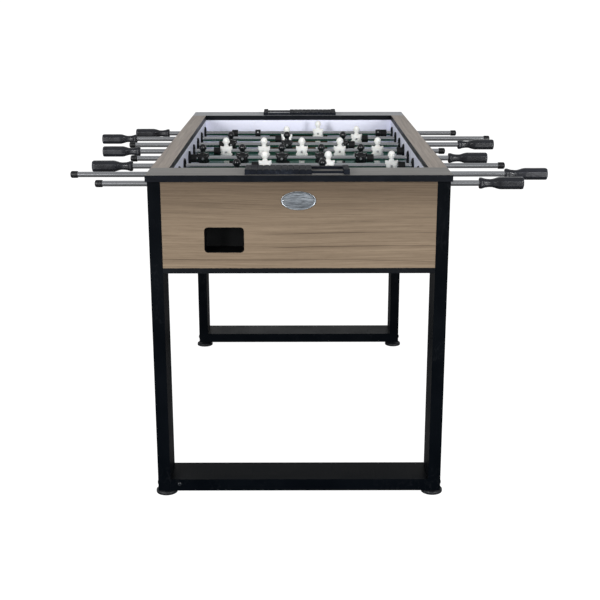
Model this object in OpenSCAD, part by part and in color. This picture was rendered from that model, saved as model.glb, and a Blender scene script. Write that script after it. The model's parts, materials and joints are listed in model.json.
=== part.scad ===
// Foosball table with eight rods, a framed rail top and two tube-leg stands.
// Frame: X runs along the rods, Y along the table, +Z up.
// Origin: on the floor, at the middle of the four levelling feet.

/* [Table] */
// Height of the rail top above the floor
table_h = 864; // [800:1:920]
// Width of the rail frame, along the rods
rail_w = 746; // [740:1:760]
// Length of the rail frame
rail_l = 1412; // [1404:1:1430]
// Thickness of the rail boards
rail_t = 16; // [12:1:20]
// Width of the end rails
end_rail_w = 118; // [110:1:120]
// Width of the side rails
side_rail_w = 46.6; // [42:0.2:47]

/* [Cabinet] */
// Inside width between the side panels, the width of the field
field_w = 652; // [640:1:656]
// Inside length between the goal walls, the length of the field
field_l = 1176; // [1170:1:1190]
// Thickness of the side panels
side_t = 12; // [10:1:15]
// Thickness of the end panels
end_t = 15; // [10:1:18]
// Length of the cabinet over the end panels
cabinet_l = 1380; // [1370:1:1396]
// Height of the cabinet's underside above the floor
cabinet_z = 615.5; // [590:0.5:640]
// Thickness of the bottom panel
bottom_t = 13.5; // [9:0.5:18]
// Depth of the playing surface below the rail top
field_drop = 129; // [122:1:140]
// Thickness of the playfield board
field_t = 9; // [6:1:12]

/* [Goals and ball returns] */
// Width of the goal mouth
goal_w = 205; // [180:1:220]
// Height of the goal mouth above the field
goal_h = 64; // [55:1:70]
// Width of the ball return opening in each end panel
return_w = 98; // [85:1:105]
// Height of the ball return opening
return_h = 63.5; // [55:0.5:70]
// Distance from the middle of the end panel to the middle of the opening
return_x = 184.5; // [160:0.5:200]
// Height of the middle of the opening below the rail top
return_drop = 163.5; // [158:0.5:170]

/* [Stands] */
// Width of the leg tube, along the rods
leg_w = 32; // [28:1:32]
// Depth of the leg tube, along the table
leg_d = 108; // [90:1:110]
// Wall of the leg tube
leg_wall = 2.5; // [1.5:0.5:4]
// Height of the legs' lower end above the floor
leg_z = 26.5; // [22:0.5:32]
// Height of the crossbar
crossbar_h = 32; // [28:1:40]
// Diameter of a levelling foot
foot_d = 57; // [45:1:60]

/* [Rods] */
// Diameter of the rods
rod_d = 15; // [14:0.5:16]
// Wall of the rod tube
rod_wall = 1.6; // [1:0.1:3]
// Distance between neighbouring rods
rod_pitch = 146.4; // [145:0.2:147]
// Depth of the rod axis below the rail top
rod_drop = 52.7; // [50:0.1:56]
// Radial clearance between a rod and its bushings or bumpers
run_gap = 0.05; // [0.02:0.01:0.1]
// Length of a handle
handle_l = 115; // [100:1:120]
// Width of a handle over its flats
handle_d = 31; // [28:1:34]
// Length of an end cap
cap_l = 20; // [15:1:25]
// Diameter of an end cap
cap_d = 19; // [18:0.5:22]

/* [Rod positions] */
// Offset of rod 1, the near goalkeeper, from the middle
shift_1 = -47; // [-85:0.5:85]
// Offset of rod 2, two men
shift_2 = -52; // [-168:0.5:168]
// Offset of rod 3, three men
shift_3 = 84; // [-104.5:0.5:104.5]
// Offset of rod 4, five men
shift_4 = -50; // [-50.5:0.5:50.5]
// Offset of rod 5, five men
shift_5 = 10; // [-50.5:0.5:50.5]
// Offset of rod 6, three men
shift_6 = -37.5; // [-104.5:0.5:104.5]
// Offset of rod 7, two men
shift_7 = 77; // [-168:0.5:168]
// Offset of rod 8, the far goalkeeper
shift_8 = 67.5; // [-85:0.5:85]

/* [Men] */
// Width of a man's shoulders
man_w = 36; // [30:1:40]
// Reach of a man's foot below the rod axis
man_reach = 69.5; // [64:0.5:70]
// Height of a man's head above the rod axis
man_top = 43; // [38:1:46]
// Distance between men on a five-man rod
space_5 = 117; // [112:1:118]
// Distance between men on a three-man rod
space_3 = 180; // [170:1:185]
// Distance between men on a two-man rod
space_2 = 233; // [220:1:240]
// Length of a rubber bumper
bumper_l = 20; // [16:1:22]
// Diameter of a rubber bumper
bumper_d = 24; // [20:1:28]
// Distance from the goalkeeper to the middle of each stop collar
collar_x = 208.5; // [200:0.5:210]

/* [Scorers] */
// Length of a scorer
scorer_l = 255; // [240:1:260]
// Depth of a scorer
scorer_d = 100; // [90:1:104]
// Distance between neighbouring scoring tiles
tile_pitch = 14.9; // [14:0.1:15.2]
// Sideways offset of each scorer from the middle of its rail
scorer_x = 4; // [0:1:15]

/* [Hidden] */
$fn = 64;

rail_under = table_h - rail_t;          // underside of the rail frame
field_z = table_h - field_drop;         // playing surface
rod_z = table_h - rod_drop;             // rod axis
panel_z = cabinet_z + bottom_t;         // lower edge of the side and end panels
box_x = field_w / 2 + side_t;           // outer face of the side panels
end_y = cabinet_l / 2;                  // outer face of the end panels
leg_x = box_x + leg_w / 2;              // centre line of the legs across
leg_y = end_y - leg_d / 2;              // centre line of the legs along
wall_t = 12;                            // thickness of the goal walls
flange_d = 44;                          // bushing flange
flange_t = 2.5;
sleeve_d = 30;                          // bushing sleeve in the side panel
collar_l = 18;
collar_d = 25;
bolt_z = leg_z + crossbar_h / 2;        // crossbar bolts
bolt_y = 34;                            // and their distance from the leg's middle
clip_x = 314;                           // button screw on each crossbar's outer face
clip_z = 46;
cabinet_bolt_y = leg_y - 22;            // bolts from the cabinet into the legs

// Number of men on each rod, the side its handle is on, and its offset
COUNT = [1, 2, 3, 5, 5, 3, 2, 1];
SIDE = [1, 1, -1, 1, -1, 1, -1, -1];
SHIFT = [shift_1, shift_2, shift_3, shift_4, shift_5, shift_6, shift_7, shift_8];
function spacing(n) = n == 5 ? space_5 : n == 3 ? space_3 : n == 2 ? space_2 : 0;
// Small offset of each rod's own middle from the middle of its men
LEAN = [-2, -4, -1.5, -4, -2, -4, -2, 0.5];
// Reach of a rod from its middle to its capped end and to its handle's end
function cap_end(n) = n == 5 ? 445.5 : n == 3 ? 504 : n == 2 ? 564.5 : 480;
function grip_end(n) = n == 5 ? 613.5 : n == 3 ? 669.5 : n == 2 ? 731 : 631.5;
function rod_y(i) = (i - 4.5) * rod_pitch;
function man_xs(n) = [for (k = [0 : n - 1]) (k - (n - 1) / 2) * spacing(n)];
// Distance from the middle of the men to the inner face of a bumper
function bumper_in(n) = 0.3 + (n == 1 ? collar_x + collar_l / 2
    : (n - 1) / 2 * spacing(n) + man_w / 2);

black = [0.07, 0.07, 0.08];
satin = [0.10, 0.10, 0.12];
steel = [0.78, 0.79, 0.80];
oak = [0.60, 0.49, 0.39];
weathered = [0.56, 0.52, 0.49];

// ---- helpers ----
// Cylinder along X from x0 to x1
module xcyl(x0, x1, d) {
    translate([x0, 0, 0]) rotate([0, 90, 0]) cylinder(h = x1 - x0, d = d);
}
// Box between two corners
module block(a, b) { translate(a) cube(b - a); }
// Rounded rectangle, width along X and height along Y
module rounded(w, h, r) {
    square([w - 2 * r, h], center = true);
    square([w, h - 2 * r], center = true);
    for (x = [-1, 1], y = [-1, 1])
        translate([x * (w / 2 - r), y * (h / 2 - r)]) circle(r = r);
}
module both_ends() { for (a = [0, 180]) rotate([0, 0, a]) children(); }
module corners() {
    for (x = [-1, 1], y = [-1, 1])
        translate([x * leg_x, y * leg_y, 0]) children();
}
// Children at the axis of rod i, moved with the rod's offset and its lean,
// and turned so that the handle is on +X
module on_rod(i, lean = 0) {
    translate([SHIFT[i - 1] + lean, rod_y(i), rod_z])
        mirror([SIDE[i - 1] > 0 ? 0 : 1, 0, 0]) children();
}

// ---- cabinet ----
module playfield() {
    color([0.09, 0.42, 0.31])
        block([-field_w / 2, -field_l / 2 - wall_t, field_z - field_t],
            [field_w / 2, field_l / 2 + wall_t, field_z]);
}

module field_supports() {
    color([0.55, 0.45, 0.34]) for (y = [-570, -190, 190, 570])
        block([-field_w / 2, y - 15, field_z - field_t - 25],
            [field_w / 2, y + 15, field_z - field_t]);
}

module side_panels() {
    color(oak) for (s = [-1, 1]) difference() {
        translate([s * (field_w + side_t) / 2, 0, (panel_z + rail_under) / 2])
            cube([side_t, cabinet_l - 2 * end_t, rail_under - panel_z],
                center = true);
        for (i = [1 : 8]) translate([s * (field_w + side_t) / 2, rod_y(i), rod_z])
            xcyl(-side_t, side_t, sleeve_d);
        for (y = [-cabinet_bolt_y, cabinet_bolt_y],
            z = [rail_under - 30, panel_z + 30])
            translate([s * (field_w + side_t) / 2, y, z])
                xcyl(-side_t, side_t, 8);
    }
}

module end_panels() {
    color(oak) both_ends() difference() {
        block([-box_x, -end_y, panel_z], [box_x, -end_y + end_t, rail_under]);
        translate([-return_x, -end_y + end_t + 1, table_h - return_drop])
            rotate([90, 0, 0]) linear_extrude(end_t + 2)
                rounded(return_w, return_h, 9);
    }
}

module goal_walls() {
    color([0.90, 0.90, 0.95]) both_ends() difference() {
        block([-field_w / 2, -field_l / 2 - wall_t, field_z],
            [field_w / 2, -field_l / 2, rail_under]);
        translate([0, -field_l / 2 + 1, field_z + goal_h / 2 - 5])
            rotate([90, 0, 0]) linear_extrude(wall_t + 2)
                rounded(goal_w, goal_h + 10, 5);
    }
}

module bottom_panel() {
    color(satin) block([-box_x, -end_y, cabinet_z], [box_x, end_y, panel_z]);
}

module top_rails() {
    color(weathered) {
        for (s = [-1, 1]) {
            translate([0, s * (rail_l - end_rail_w) / 2, table_h - rail_t / 2])
                cube([rail_w, end_rail_w, rail_t], center = true);
            translate([s * (rail_w - side_rail_w) / 2, 0, table_h - rail_t / 2])
                cube([side_rail_w, rail_l - 2 * end_rail_w, rail_t],
                    center = true);
        }
    }
}

// Tray behind each end panel: a cup behind the opening, and a chute that
// falls to it from under the goal. The end panel closes its outer side.
module ball_returns() {
    cup_x0 = -return_x - return_w / 2 - 4;
    cup_x1 = -return_x + return_w / 2 + 4;
    far_x = goal_w / 2 + 9;
    low = table_h - return_drop - return_h / 2 - 6;
    top = field_z - field_t - 1;
    depth = end_y - end_t - field_l / 2 - wall_t - 1;
    color(black) both_ends() translate([0, -end_y + end_t, 0])
        rotate([90, 0, 0]) mirror([0, 0, 1]) difference() {
            linear_extrude(depth) polygon([[cup_x0, low], [cup_x1, low],
                [cup_x1, low + 8], [far_x, low + 36], [far_x, top],
                [cup_x0, top]]);
            translate([0, 0, -1]) linear_extrude(depth - 2) polygon([
                [cup_x0 + 3, low + 3], [cup_x1 - 3, low + 3],
                [cup_x1 - 3, low + 11], [far_x - 3, low + 39],
                [far_x - 3, top + 1], [cup_x0 + 3, top + 1]]);
        }
}

// Oval name plate without lettering, on the front end panel, with two pins
module badge() {
    color([0.70, 0.72, 0.74]) translate([-1, -end_y, table_h - 65.3])
        rotate([90, 0, 0]) {
            difference() {
                linear_extrude(2) oval(86, 46.5);
                translate([0, 0, 1.2]) linear_extrude(2) oval(78, 38.5);
            }
            for (s = [-1, 1]) translate([s * 38.5, 0, 1]) cylinder(h = 1.8, d = 3.2);
        }
}
// Oval plate outline
module oval(w, h) {
    polygon([for (a = [0 : 5 : 355]) [w / 2 * cos(a), h / 2 * sin(a)]]);
}

// ---- stands ----
module legs() {
    color(satin) difference() {
        corners() difference() {
            block([-leg_w / 2, -leg_d / 2, leg_z], [leg_w / 2, leg_d / 2, rail_under]);
            block([-leg_w / 2 + leg_wall, -leg_d / 2 + leg_wall, leg_z + 4],
                [leg_w / 2 - leg_wall, leg_d / 2 - leg_wall, rail_under - 4]);
            translate([0, 0, leg_z - 1]) cylinder(h = 8, d = 10);
            for (y = [-bolt_y, bolt_y]) translate([0, y, bolt_z])
                xcyl(-leg_w, leg_w, 8);
        }
        for (y = [-cabinet_bolt_y, cabinet_bolt_y],
            z = [rail_under - 30, panel_z + 30]) translate([0, y, z])
                xcyl(-box_x - leg_wall - 1, box_x + leg_wall + 1, 8);
    }
}

module crossbars() {
    color(satin) both_ends() translate([0, -leg_y, bolt_z]) difference() {
        cube([2 * box_x, leg_d, crossbar_h], center = true);
        cube([2 * box_x - 12, leg_d - 2 * leg_wall, crossbar_h - 2 * leg_wall],
            center = true);
        for (y = [-bolt_y, bolt_y]) translate([0, y, 0]) {
            xcyl(-box_x - 1, -box_x + 10, 8);
            xcyl(box_x - 10, box_x + 1, 8);
        }
        translate([-clip_x, -leg_d / 2 - 1, clip_z - bolt_z]) rotate([-90, 0, 0])
            cylinder(h = 8, d = 6);
    }
}

module levelling_feet() {
    color(black) corners() {
        // bell-shaped disc, then the threaded stem
        rotate_extrude() polygon([[0, 0], [foot_d / 2, 0],
            [foot_d / 2, 7], [foot_d / 2 - 3, 10.5], [19, 14], [14, 18],
            [12, 22], [12, leg_z], [0, leg_z]]);
        cylinder(h = leg_z + 16, d = 10);
    }
}

// Low domed head of diameter d and height h, standing on the plane z = 0
module dome(d, h) {
    rotate_extrude() polygon([[0, 0], [d / 2, 0], [d / 2, h * 0.2],
        [d * 0.44, h * 0.5], [d * 0.32, h * 0.8], [d * 0.16, h * 0.95], [0, h]]);
}

// Crossbar bolts with domed heads, a button screw on the outer face of each
// crossbar, and bolts from the cabinet into the legs
module leg_bolts() {
    color(satin) for (x = [-1, 1], y = [-1, 1], k = [-bolt_y, bolt_y])
        mirror([x < 0 ? 1 : 0, 0, 0])
            translate([box_x, y * leg_y + k, bolt_z]) {
                xcyl(-9, leg_w, 8);
                translate([leg_w, 0, 0]) rotate([0, 90, 0]) dome(14.5, 4);
                translate([-12, 0, 0]) rotate([0, 90, 0])
                    cylinder(h = 6, d = 15, $fn = 6);
            }
    color(satin) both_ends() translate([-clip_x, -end_y, clip_z]) {
        rotate([90, 0, 0]) dome(13, 4);
        rotate([-90, 0, 0]) cylinder(h = leg_wall, d = 6);
    }
    color(steel) for (x = [-1, 1], y = [-1, 1], z = [rail_under - 30, panel_z + 30])
        mirror([x < 0 ? 1 : 0, 0, 0])
            translate([box_x, y * cabinet_bolt_y, z]) {
                xcyl(-side_t, leg_wall, 8);
                xcyl(-side_t - 4, -side_t, 17);
            }
}

// ---- rods ----
module rod_bushings() {
    color(black) for (s = [-1, 1], i = [1 : 8])
        translate([s * field_w / 2, rod_y(i), rod_z]) mirror([s < 0 ? 1 : 0, 0, 0])
            rotate([0, 90, 0]) rotate_extrude() polygon([
                [rod_d / 2 + run_gap, -flange_t], [flange_d / 2 - 1, -flange_t],
                [flange_d / 2, -flange_t + 1], [flange_d / 2, 0],
                [sleeve_d / 2, 0], [sleeve_d / 2, side_t],
                [flange_d / 2, side_t], [flange_d / 2, side_t + 3],
                [17, side_t + 4], [15, side_t + 14],
                [rod_d / 2 + run_gap, side_t + 14]]);
}

module rod(i) {
    n = COUNT[i - 1];
    color(steel) on_rod(i, LEAN[i - 1]) difference() {
        xcyl(-cap_end(n) + 2, grip_end(n) - 6, rod_d);
        xcyl(-cap_end(n), grip_end(n) - 5, rod_d - 2 * rod_wall);
    }
}

// Handle: a waisted octagonal grip, [distance from its inner end, width over flats]
GRIP = [[0, 26], [1.5, 28], [7, 28], [12, 24.5], [20, 21.4], [30, 20.5],
    [38, 23], [46, 28], [54, handle_d], [handle_l - 4, handle_d],
    [handle_l - 1.2, handle_d - 2.6], [handle_l, handle_d - 7]];
// one pair of opposite flats, turned by a about the rod
module flats(a) {
    n = len(GRIP);
    rotate([a, 0, 0]) rotate([90, 0, 0]) linear_extrude(60, center = true)
        polygon(concat([for (k = [0 : n - 1]) [GRIP[k][0], -GRIP[k][1] / 2]],
            [for (k = [0 : n - 1]) [GRIP[n - 1 - k][0], GRIP[n - 1 - k][1] / 2]]));
}
module handle(i) {
    n = COUNT[i - 1];
    color(black) on_rod(i, LEAN[i - 1])
        translate([grip_end(n) - handle_l, 0, 0]) difference() {
        intersection() {
            flats(0);
            flats(45);
            flats(90);
            flats(135);
        }
        xcyl(-1, handle_l - 6, rod_d);
    }
}

module end_cap(i) {
    n = COUNT[i - 1];
    color(black) on_rod(i, LEAN[i - 1])
        translate([-cap_end(n), 0, 0]) rotate([0, 90, 0])
        rotate_extrude() polygon([[0, 0], [5.5, 0], [8, 1.2], [cap_d / 2, 4],
            [cap_d / 2, cap_l - 1], [cap_d / 2 - 1, cap_l], [rod_d / 2, cap_l],
            [rod_d / 2, 2], [0, 2]]);
}

// One man with his rod bore along X, the head up and the foot down
module man() {
    difference() {
        intersection() {
            rotate([90, 0, 0]) linear_extrude(40, center = true) polygon([
                [-6, man_top - 22], [-7, 17], [-12, 11.5], [-man_w / 2 + 2, 12],
                [-man_w / 2, 15.5], [-man_w / 2 + 0.6, 2], [-man_w / 2, -13],
                [-9, -13], [-8.5, -30], [-7.5, -44], [-8.5, -56],
                [-9.5, -man_reach], [9.5, -man_reach], [8.5, -56], [7.5, -44],
                [8.5, -30], [9, -13], [man_w / 2, -13], [man_w / 2 - 0.6, 2],
                [man_w / 2, 15.5], [man_w / 2 - 2, 12], [12, 11.5], [7, 17],
                [6, man_top - 22]]);
            rotate([90, 0, 90]) linear_extrude(man_w, center = true) polygon([
                [-5.5, man_top - 22], [-7, 16], [-11, 11], [-12, 0], [-11, -13],
                [-6.5, -20], [-5, -44], [-6.5, -55], [-11.5, -62],
                [-11.5, -man_reach], [11.5, -man_reach], [11.5, -62],
                [6.5, -55], [5, -44], [6.5, -20], [11, -13], [12, 0],
                [11, 11], [7, 16], [5.5, man_top - 22]]);
        }
        xcyl(-man_w, man_w, rod_d);
    }
    rotate_extrude($fn = 32) polygon(concat([[0, man_top - 25]],
        [for (a = [-72 : 18 : 90]) [11 * cos(a), man_top - 13 + 13 * sin(a)]]));
}

module men(i) {
    pale = i == 3 || i == 5 || i == 7 || i == 8;
    color(pale ? [0.93, 0.93, 0.91] : black) on_rod(i)
        for (x = man_xs(COUNT[i - 1])) translate([x, 0, 0]) man();
}

module ring(x0, l, d, bore) {
    translate([x0, 0, 0]) rotate([0, 90, 0]) rotate_extrude() polygon([
        [bore / 2, 0], [d / 2 - 1.2, 0], [d / 2, 1.2], [d / 2, l - 1.2],
        [d / 2 - 1.2, l], [bore / 2, l]]);
}

// Rubber bumpers outside the outer men, a running fit on the rod.
// The handle-side mirror is undone, so +X here is the table's +X.
// The left bumper of rod 8 stands off its collar.
module bumpers(i) {
    n = COUNT[i - 1];
    off = i == 8 ? 60 : 0;
    color(black) translate([SHIFT[i - 1], rod_y(i), rod_z]) {
        ring(-bumper_in(n) - bumper_l - off, bumper_l, bumper_d,
            rod_d + 2 * run_gap);
        if (i != 5)
            ring(bumper_in(n), bumper_l, bumper_d, rod_d + 2 * run_gap);
    }
}

// The right bumper of rod 5 rests against its bushing
module loose_bumper() {
    color(black) translate([field_w / 2 - flange_t - bumper_l, rod_y(5), rod_z])
        ring(0, bumper_l, bumper_d, rod_d + 2 * run_gap);
}

module stop_collars(i) {
    color(black) on_rod(i) for (s = [-1, 1])
        ring(s * collar_x - collar_l / 2, collar_l, collar_d, rod_d);
}

// ---- scorers ----
tile_w = tile_pitch - 0.4;
block_w = 14;
bar_y = scorer_d / 2 - 8;      // round bar, on the player's side
guide_y = -scorer_d / 2 + 10;  // flat guide, on the field's side
// Children in the scorer's frame: on the rail top, -X end first,
// +Y of the frame towards the player's side of the rail
module at_scorer() {
    translate([-scorer_x, -rail_l / 2 + end_rail_w / 2, table_h])
        mirror([0, 1, 0]) children();
}

module scorer_frame() {
    at_scorer() {
        for (s = [-1, 1]) translate([s * (scorer_l - block_w) / 2, 0, 0])
            difference() {
                rotate([90, 0, 90]) linear_extrude(block_w, center = true)
                    polygon([[-scorer_d / 2, 0], [scorer_d / 2, 0],
                        [scorer_d / 2, 10], [scorer_d / 2 - 3, 12],
                        [scorer_d / 2 - 18, 12], [-scorer_d / 2 + 20, 9],
                        [-scorer_d / 2 + 2, 9], [-scorer_d / 2, 7]]);
                translate([0, bar_y, 5]) xcyl(-block_w, block_w, 6);
            }
        translate([0, bar_y, 5]) xcyl(-scorer_l / 2 + 1, scorer_l / 2 - 1, 6);
        translate([0, guide_y, 4]) cube([scorer_l - 2 * block_w, 14, 6],
            center = true);
    }
}
module scorer_frames() { color(black) both_ends() scorer_frame(); }

// Ten scoring tiles on the bar, all pushed to one end
module score_beads() {
    x0 = -scorer_l / 2 + block_w + tile_pitch / 2;
    at_scorer() for (k = [0 : 9]) translate([x0 + k * tile_pitch, 0, 0])
        difference() {
            union() {
                rotate([90, 0, 90]) linear_extrude(tile_w, center = true)
                    polygon([[-scorer_d / 2 + 7, 0.6], [scorer_d / 2 - 1, 0.6],
                        [scorer_d / 2 - 1, 8.6], [scorer_d / 2 - 3, 10],
                        [scorer_d / 2 - 16, 10], [-scorer_d / 2 + 24, 8.8],
                        [-scorer_d / 2 + 7, 8.8]]);
                translate([0, -scorer_d / 2 + 8, 0.6]) linear_extrude(8.2)
                    intersection() {
                        circle(d = tile_w);
                        translate([-tile_w, -tile_w]) square([2 * tile_w, tile_w]);
                    }
            }
            translate([0, bar_y, 5]) xcyl(-tile_w, tile_w, 6 + 2 * run_gap);
            translate([0, guide_y, 3]) cube([2 * tile_w, 14.6, 8.6],
                center = true);
        }
}
module score_beads_front() { color(black) score_beads(); }
module score_beads_rear() { color(black) rotate([0, 0, 180]) score_beads(); }

playfield();
side_panels();
end_panels();
goal_walls();
bottom_panel();
top_rails();
legs();
crossbars();
levelling_feet();
rod_bushings();
scorer_frames();
ball_returns();
badge();
leg_bolts();
loose_bumper();
field_supports();
rod(1);  // rod_1
rod(2);  // rod_2
rod(3);  // rod_3
rod(4);  // rod_4
rod(5);  // rod_5
rod(6);  // rod_6
rod(7);  // rod_7
rod(8);  // rod_8
handle(1);  // handle_1
handle(2);  // handle_2
handle(3);  // handle_3
handle(4);  // handle_4
handle(5);  // handle_5
handle(6);  // handle_6
handle(7);  // handle_7
handle(8);  // handle_8
end_cap(1);  // end_cap_1
end_cap(2);  // end_cap_2
end_cap(3);  // end_cap_3
end_cap(4);  // end_cap_4
end_cap(5);  // end_cap_5
end_cap(6);  // end_cap_6
end_cap(7);  // end_cap_7
end_cap(8);  // end_cap_8
men(1);  // men_1
men(2);  // men_2
men(3);  // men_3
men(4);  // men_4
men(5);  // men_5
men(6);  // men_6
men(7);  // men_7
men(8);  // men_8
bumpers(1);  // bumpers_1
bumpers(2);  // bumpers_2
bumpers(3);  // bumpers_3
bumpers(4);  // bumpers_4
bumpers(5);  // bumpers_5
bumpers(6);  // bumpers_6
bumpers(7);  // bumpers_7
bumpers(8);  // bumpers_8
stop_collars(1);  // stop_collars_1
stop_collars(8);  // stop_collars_8
score_beads_front();
score_beads_rear();
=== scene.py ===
import bpy, bmesh, json, math, random
from math import sin, cos, pi, radians, sqrt
from mathutils import Vector, Matrix, noise


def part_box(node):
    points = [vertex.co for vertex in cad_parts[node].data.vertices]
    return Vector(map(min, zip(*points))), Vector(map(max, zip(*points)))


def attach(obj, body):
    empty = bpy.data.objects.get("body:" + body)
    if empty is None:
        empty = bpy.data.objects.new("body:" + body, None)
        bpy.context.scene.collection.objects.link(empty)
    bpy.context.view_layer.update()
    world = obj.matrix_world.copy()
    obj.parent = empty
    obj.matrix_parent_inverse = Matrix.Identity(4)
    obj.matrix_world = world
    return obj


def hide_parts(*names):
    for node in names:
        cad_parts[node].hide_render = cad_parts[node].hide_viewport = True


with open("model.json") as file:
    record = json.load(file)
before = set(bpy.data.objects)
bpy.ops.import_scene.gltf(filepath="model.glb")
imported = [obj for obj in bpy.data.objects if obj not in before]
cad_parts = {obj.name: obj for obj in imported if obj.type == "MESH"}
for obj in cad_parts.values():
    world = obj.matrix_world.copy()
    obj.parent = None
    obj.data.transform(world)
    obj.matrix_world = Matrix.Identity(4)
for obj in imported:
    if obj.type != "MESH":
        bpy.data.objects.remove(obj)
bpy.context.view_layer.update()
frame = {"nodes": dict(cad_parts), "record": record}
K = 0.001
random.seed(11)
scene = bpy.context.scene
COL = scene.collection
REC = frame["record"]

# ------------------------------------------------------------------ camera
scene.view_settings.view_transform = "Standard"
scene.view_settings.look = "None"
yaw, pitch, roll = radians(0.095), radians(15.706), radians(0.063)
cam_data = bpy.data.cameras.new("camera")
cam = bpy.data.objects.new("camera", cam_data)
COL.objects.link(cam)
cam_data.sensor_width = 36.0
cam_data.sensor_fit = "HORIZONTAL"
cam_data.lens = 66.93
cam_data.clip_end = 300.0
xh = Vector((cos(yaw), -sin(yaw), 0))
yh = Vector((sin(yaw), cos(yaw), 0))
fw = cos(pitch) * yh - sin(pitch) * Vector((0, 0, 1))
uu = sin(pitch) * yh + cos(pitch) * Vector((0, 0, 1))
rt = cos(roll) * xh - sin(roll) * uu
up = sin(roll) * xh + cos(roll) * uu
cam.matrix_world = Matrix(((rt.x, up.x, -fw.x, -0.0021), (rt.y, up.y, -fw.y, -3.3789),
                           (rt.z, up.z, -fw.z, 1.3030), (0, 0, 0, 1)))
scene.camera = cam


# ------------------------------------------------------------------ node graphs
def lin(r, g=None, b=None):
    """sRGB 0-255 to a linear colour"""
    if g is None:
        g = b = r
    f = lambda c: c / 12.92 if c <= 0.04045 else ((c + 0.055) / 1.055) ** 2.4
    return (f(r / 255), f(g / 255), f(b / 255), 1.0)


class G:
    def __init__(self, name, rough=0.5, spec=0.5, metal=0.0, **kw):
        self.m = bpy.data.materials.new(name)
        self.m.use_nodes = True
        self.nt = self.m.node_tree
        self.nt.nodes.clear()
        self.out = self.nt.nodes.new("ShaderNodeOutputMaterial")
        self.b = self.nt.nodes.new("ShaderNodeBsdfPrincipled")
        self.nt.links.new(self.b.outputs[0], self.out.inputs[0])
        self.b.inputs["Roughness"].default_value = rough
        self.b.inputs["Specular IOR Level"].default_value = spec
        self.b.inputs["Metallic"].default_value = metal
        for k, v in kw.items():
            self.b.inputs[k.replace("_", " ")].default_value = v
        self.tc = self.nt.nodes.new("ShaderNodeTexCoord")
        self.obj = self.tc.outputs["Object"]

    def put(self, sock, v):
        if v is None:
            return
        if isinstance(v, bpy.types.NodeSocket):
            self.nt.links.new(v, sock)
        else:
            sock.default_value = v

    def map(self, scale=(1, 1, 1), loc=(0, 0, 0), rot=(0, 0, 0), vec=None):
        n = self.nt.nodes.new("ShaderNodeMapping")
        self.put(n.inputs["Vector"], vec or self.obj)
        n.inputs["Location"].default_value = loc
        n.inputs["Rotation"].default_value = rot
        n.inputs["Scale"].default_value = scale
        return n.outputs[0]

    def noise(self, vec, scale=1.0, detail=2.0, rough=0.5, dist=0.0, color=False):
        n = self.nt.nodes.new("ShaderNodeTexNoise")
        self.put(n.inputs["Vector"], vec)
        n.inputs["Scale"].default_value = scale
        n.inputs["Detail"].default_value = detail
        n.inputs["Roughness"].default_value = rough
        n.inputs["Distortion"].default_value = dist
        return n.outputs["Color" if color else "Fac"]

    def vor(self, vec, scale=1.0, feature="F1", rand=1.0):
        n = self.nt.nodes.new("ShaderNodeTexVoronoi")
        n.feature = feature
        self.put(n.inputs["Vector"], vec)
        n.inputs["Scale"].default_value = scale
        n.inputs["Randomness"].default_value = rand
        return n.outputs["Distance"]

    def math(self, op, a, b=None, c=None, clamp=False):
        n = self.nt.nodes.new("ShaderNodeMath")
        n.operation = op
        n.use_clamp = clamp
        self.put(n.inputs[0], a)
        self.put(n.inputs[1], b)
        self.put(n.inputs[2], c)
        return n.outputs[0]

    def ramp(self, fac, stops, interp="LINEAR"):
        n = self.nt.nodes.new("ShaderNodeValToRGB")
        n.color_ramp.interpolation = interp
        el = n.color_ramp.elements
        while len(el) < len(stops):
            el.new(0.5)
        for e, (p, c) in zip(el, stops):
            e.position = p
            e.color = c if isinstance(c, (tuple, list)) else (c, c, c, 1)
        self.put(n.inputs[0], fac)
        return n.outputs[0]

    def rng(self, v, a, b, c=0.0, d=1.0, kind="LINEAR"):
        n = self.nt.nodes.new("ShaderNodeMapRange")
        n.interpolation_type = kind
        self.put(n.inputs[0], v)
        for k, x in zip((1, 2, 3, 4), (a, b, c, d)):
            n.inputs[k].default_value = x
        return n.outputs[0]

    def mix(self, fac, a, b, blend="MIX"):
        n = self.nt.nodes.new("ShaderNodeMix")
        n.data_type = "RGBA"
        n.blend_type = blend
        n.clamp_factor = True
        self.put(n.inputs[0], fac)
        self.put(n.inputs[6], a)
        self.put(n.inputs[7], b)
        return n.outputs[2]

    def xyz(self, vec=None):
        n = self.nt.nodes.new("ShaderNodeSeparateXYZ")
        self.put(n.inputs[0], vec or self.obj)
        return n.outputs[0], n.outputs[1], n.outputs[2]

    def comb(self, x, y, z):
        n = self.nt.nodes.new("ShaderNodeCombineXYZ")
        self.put(n.inputs[0], x)
        self.put(n.inputs[1], y)
        self.put(n.inputs[2], z)
        return n.outputs[0]

    def attr(self, name):
        n = self.nt.nodes.new("ShaderNodeAttribute")
        n.attribute_name = name
        return n.outputs["Fac"]

    def info(self):
        n = self.nt.nodes.new("ShaderNodeObjectInfo")
        return n.outputs["Random"]

    def bump(self, h, strength=0.3, dist=0.001, normal=None):
        n = self.nt.nodes.new("ShaderNodeBump")
        n.inputs["Strength"].default_value = strength
        n.inputs["Distance"].default_value = dist
        self.put(n.inputs["Height"], h)
        if normal is not None:
            self.put(n.inputs["Normal"], normal)
        return n.outputs[0]

    def set(self, **kw):
        for k, v in kw.items():
            self.put(self.b.inputs[k.replace("_", " ")], v)
        return self.m


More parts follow.
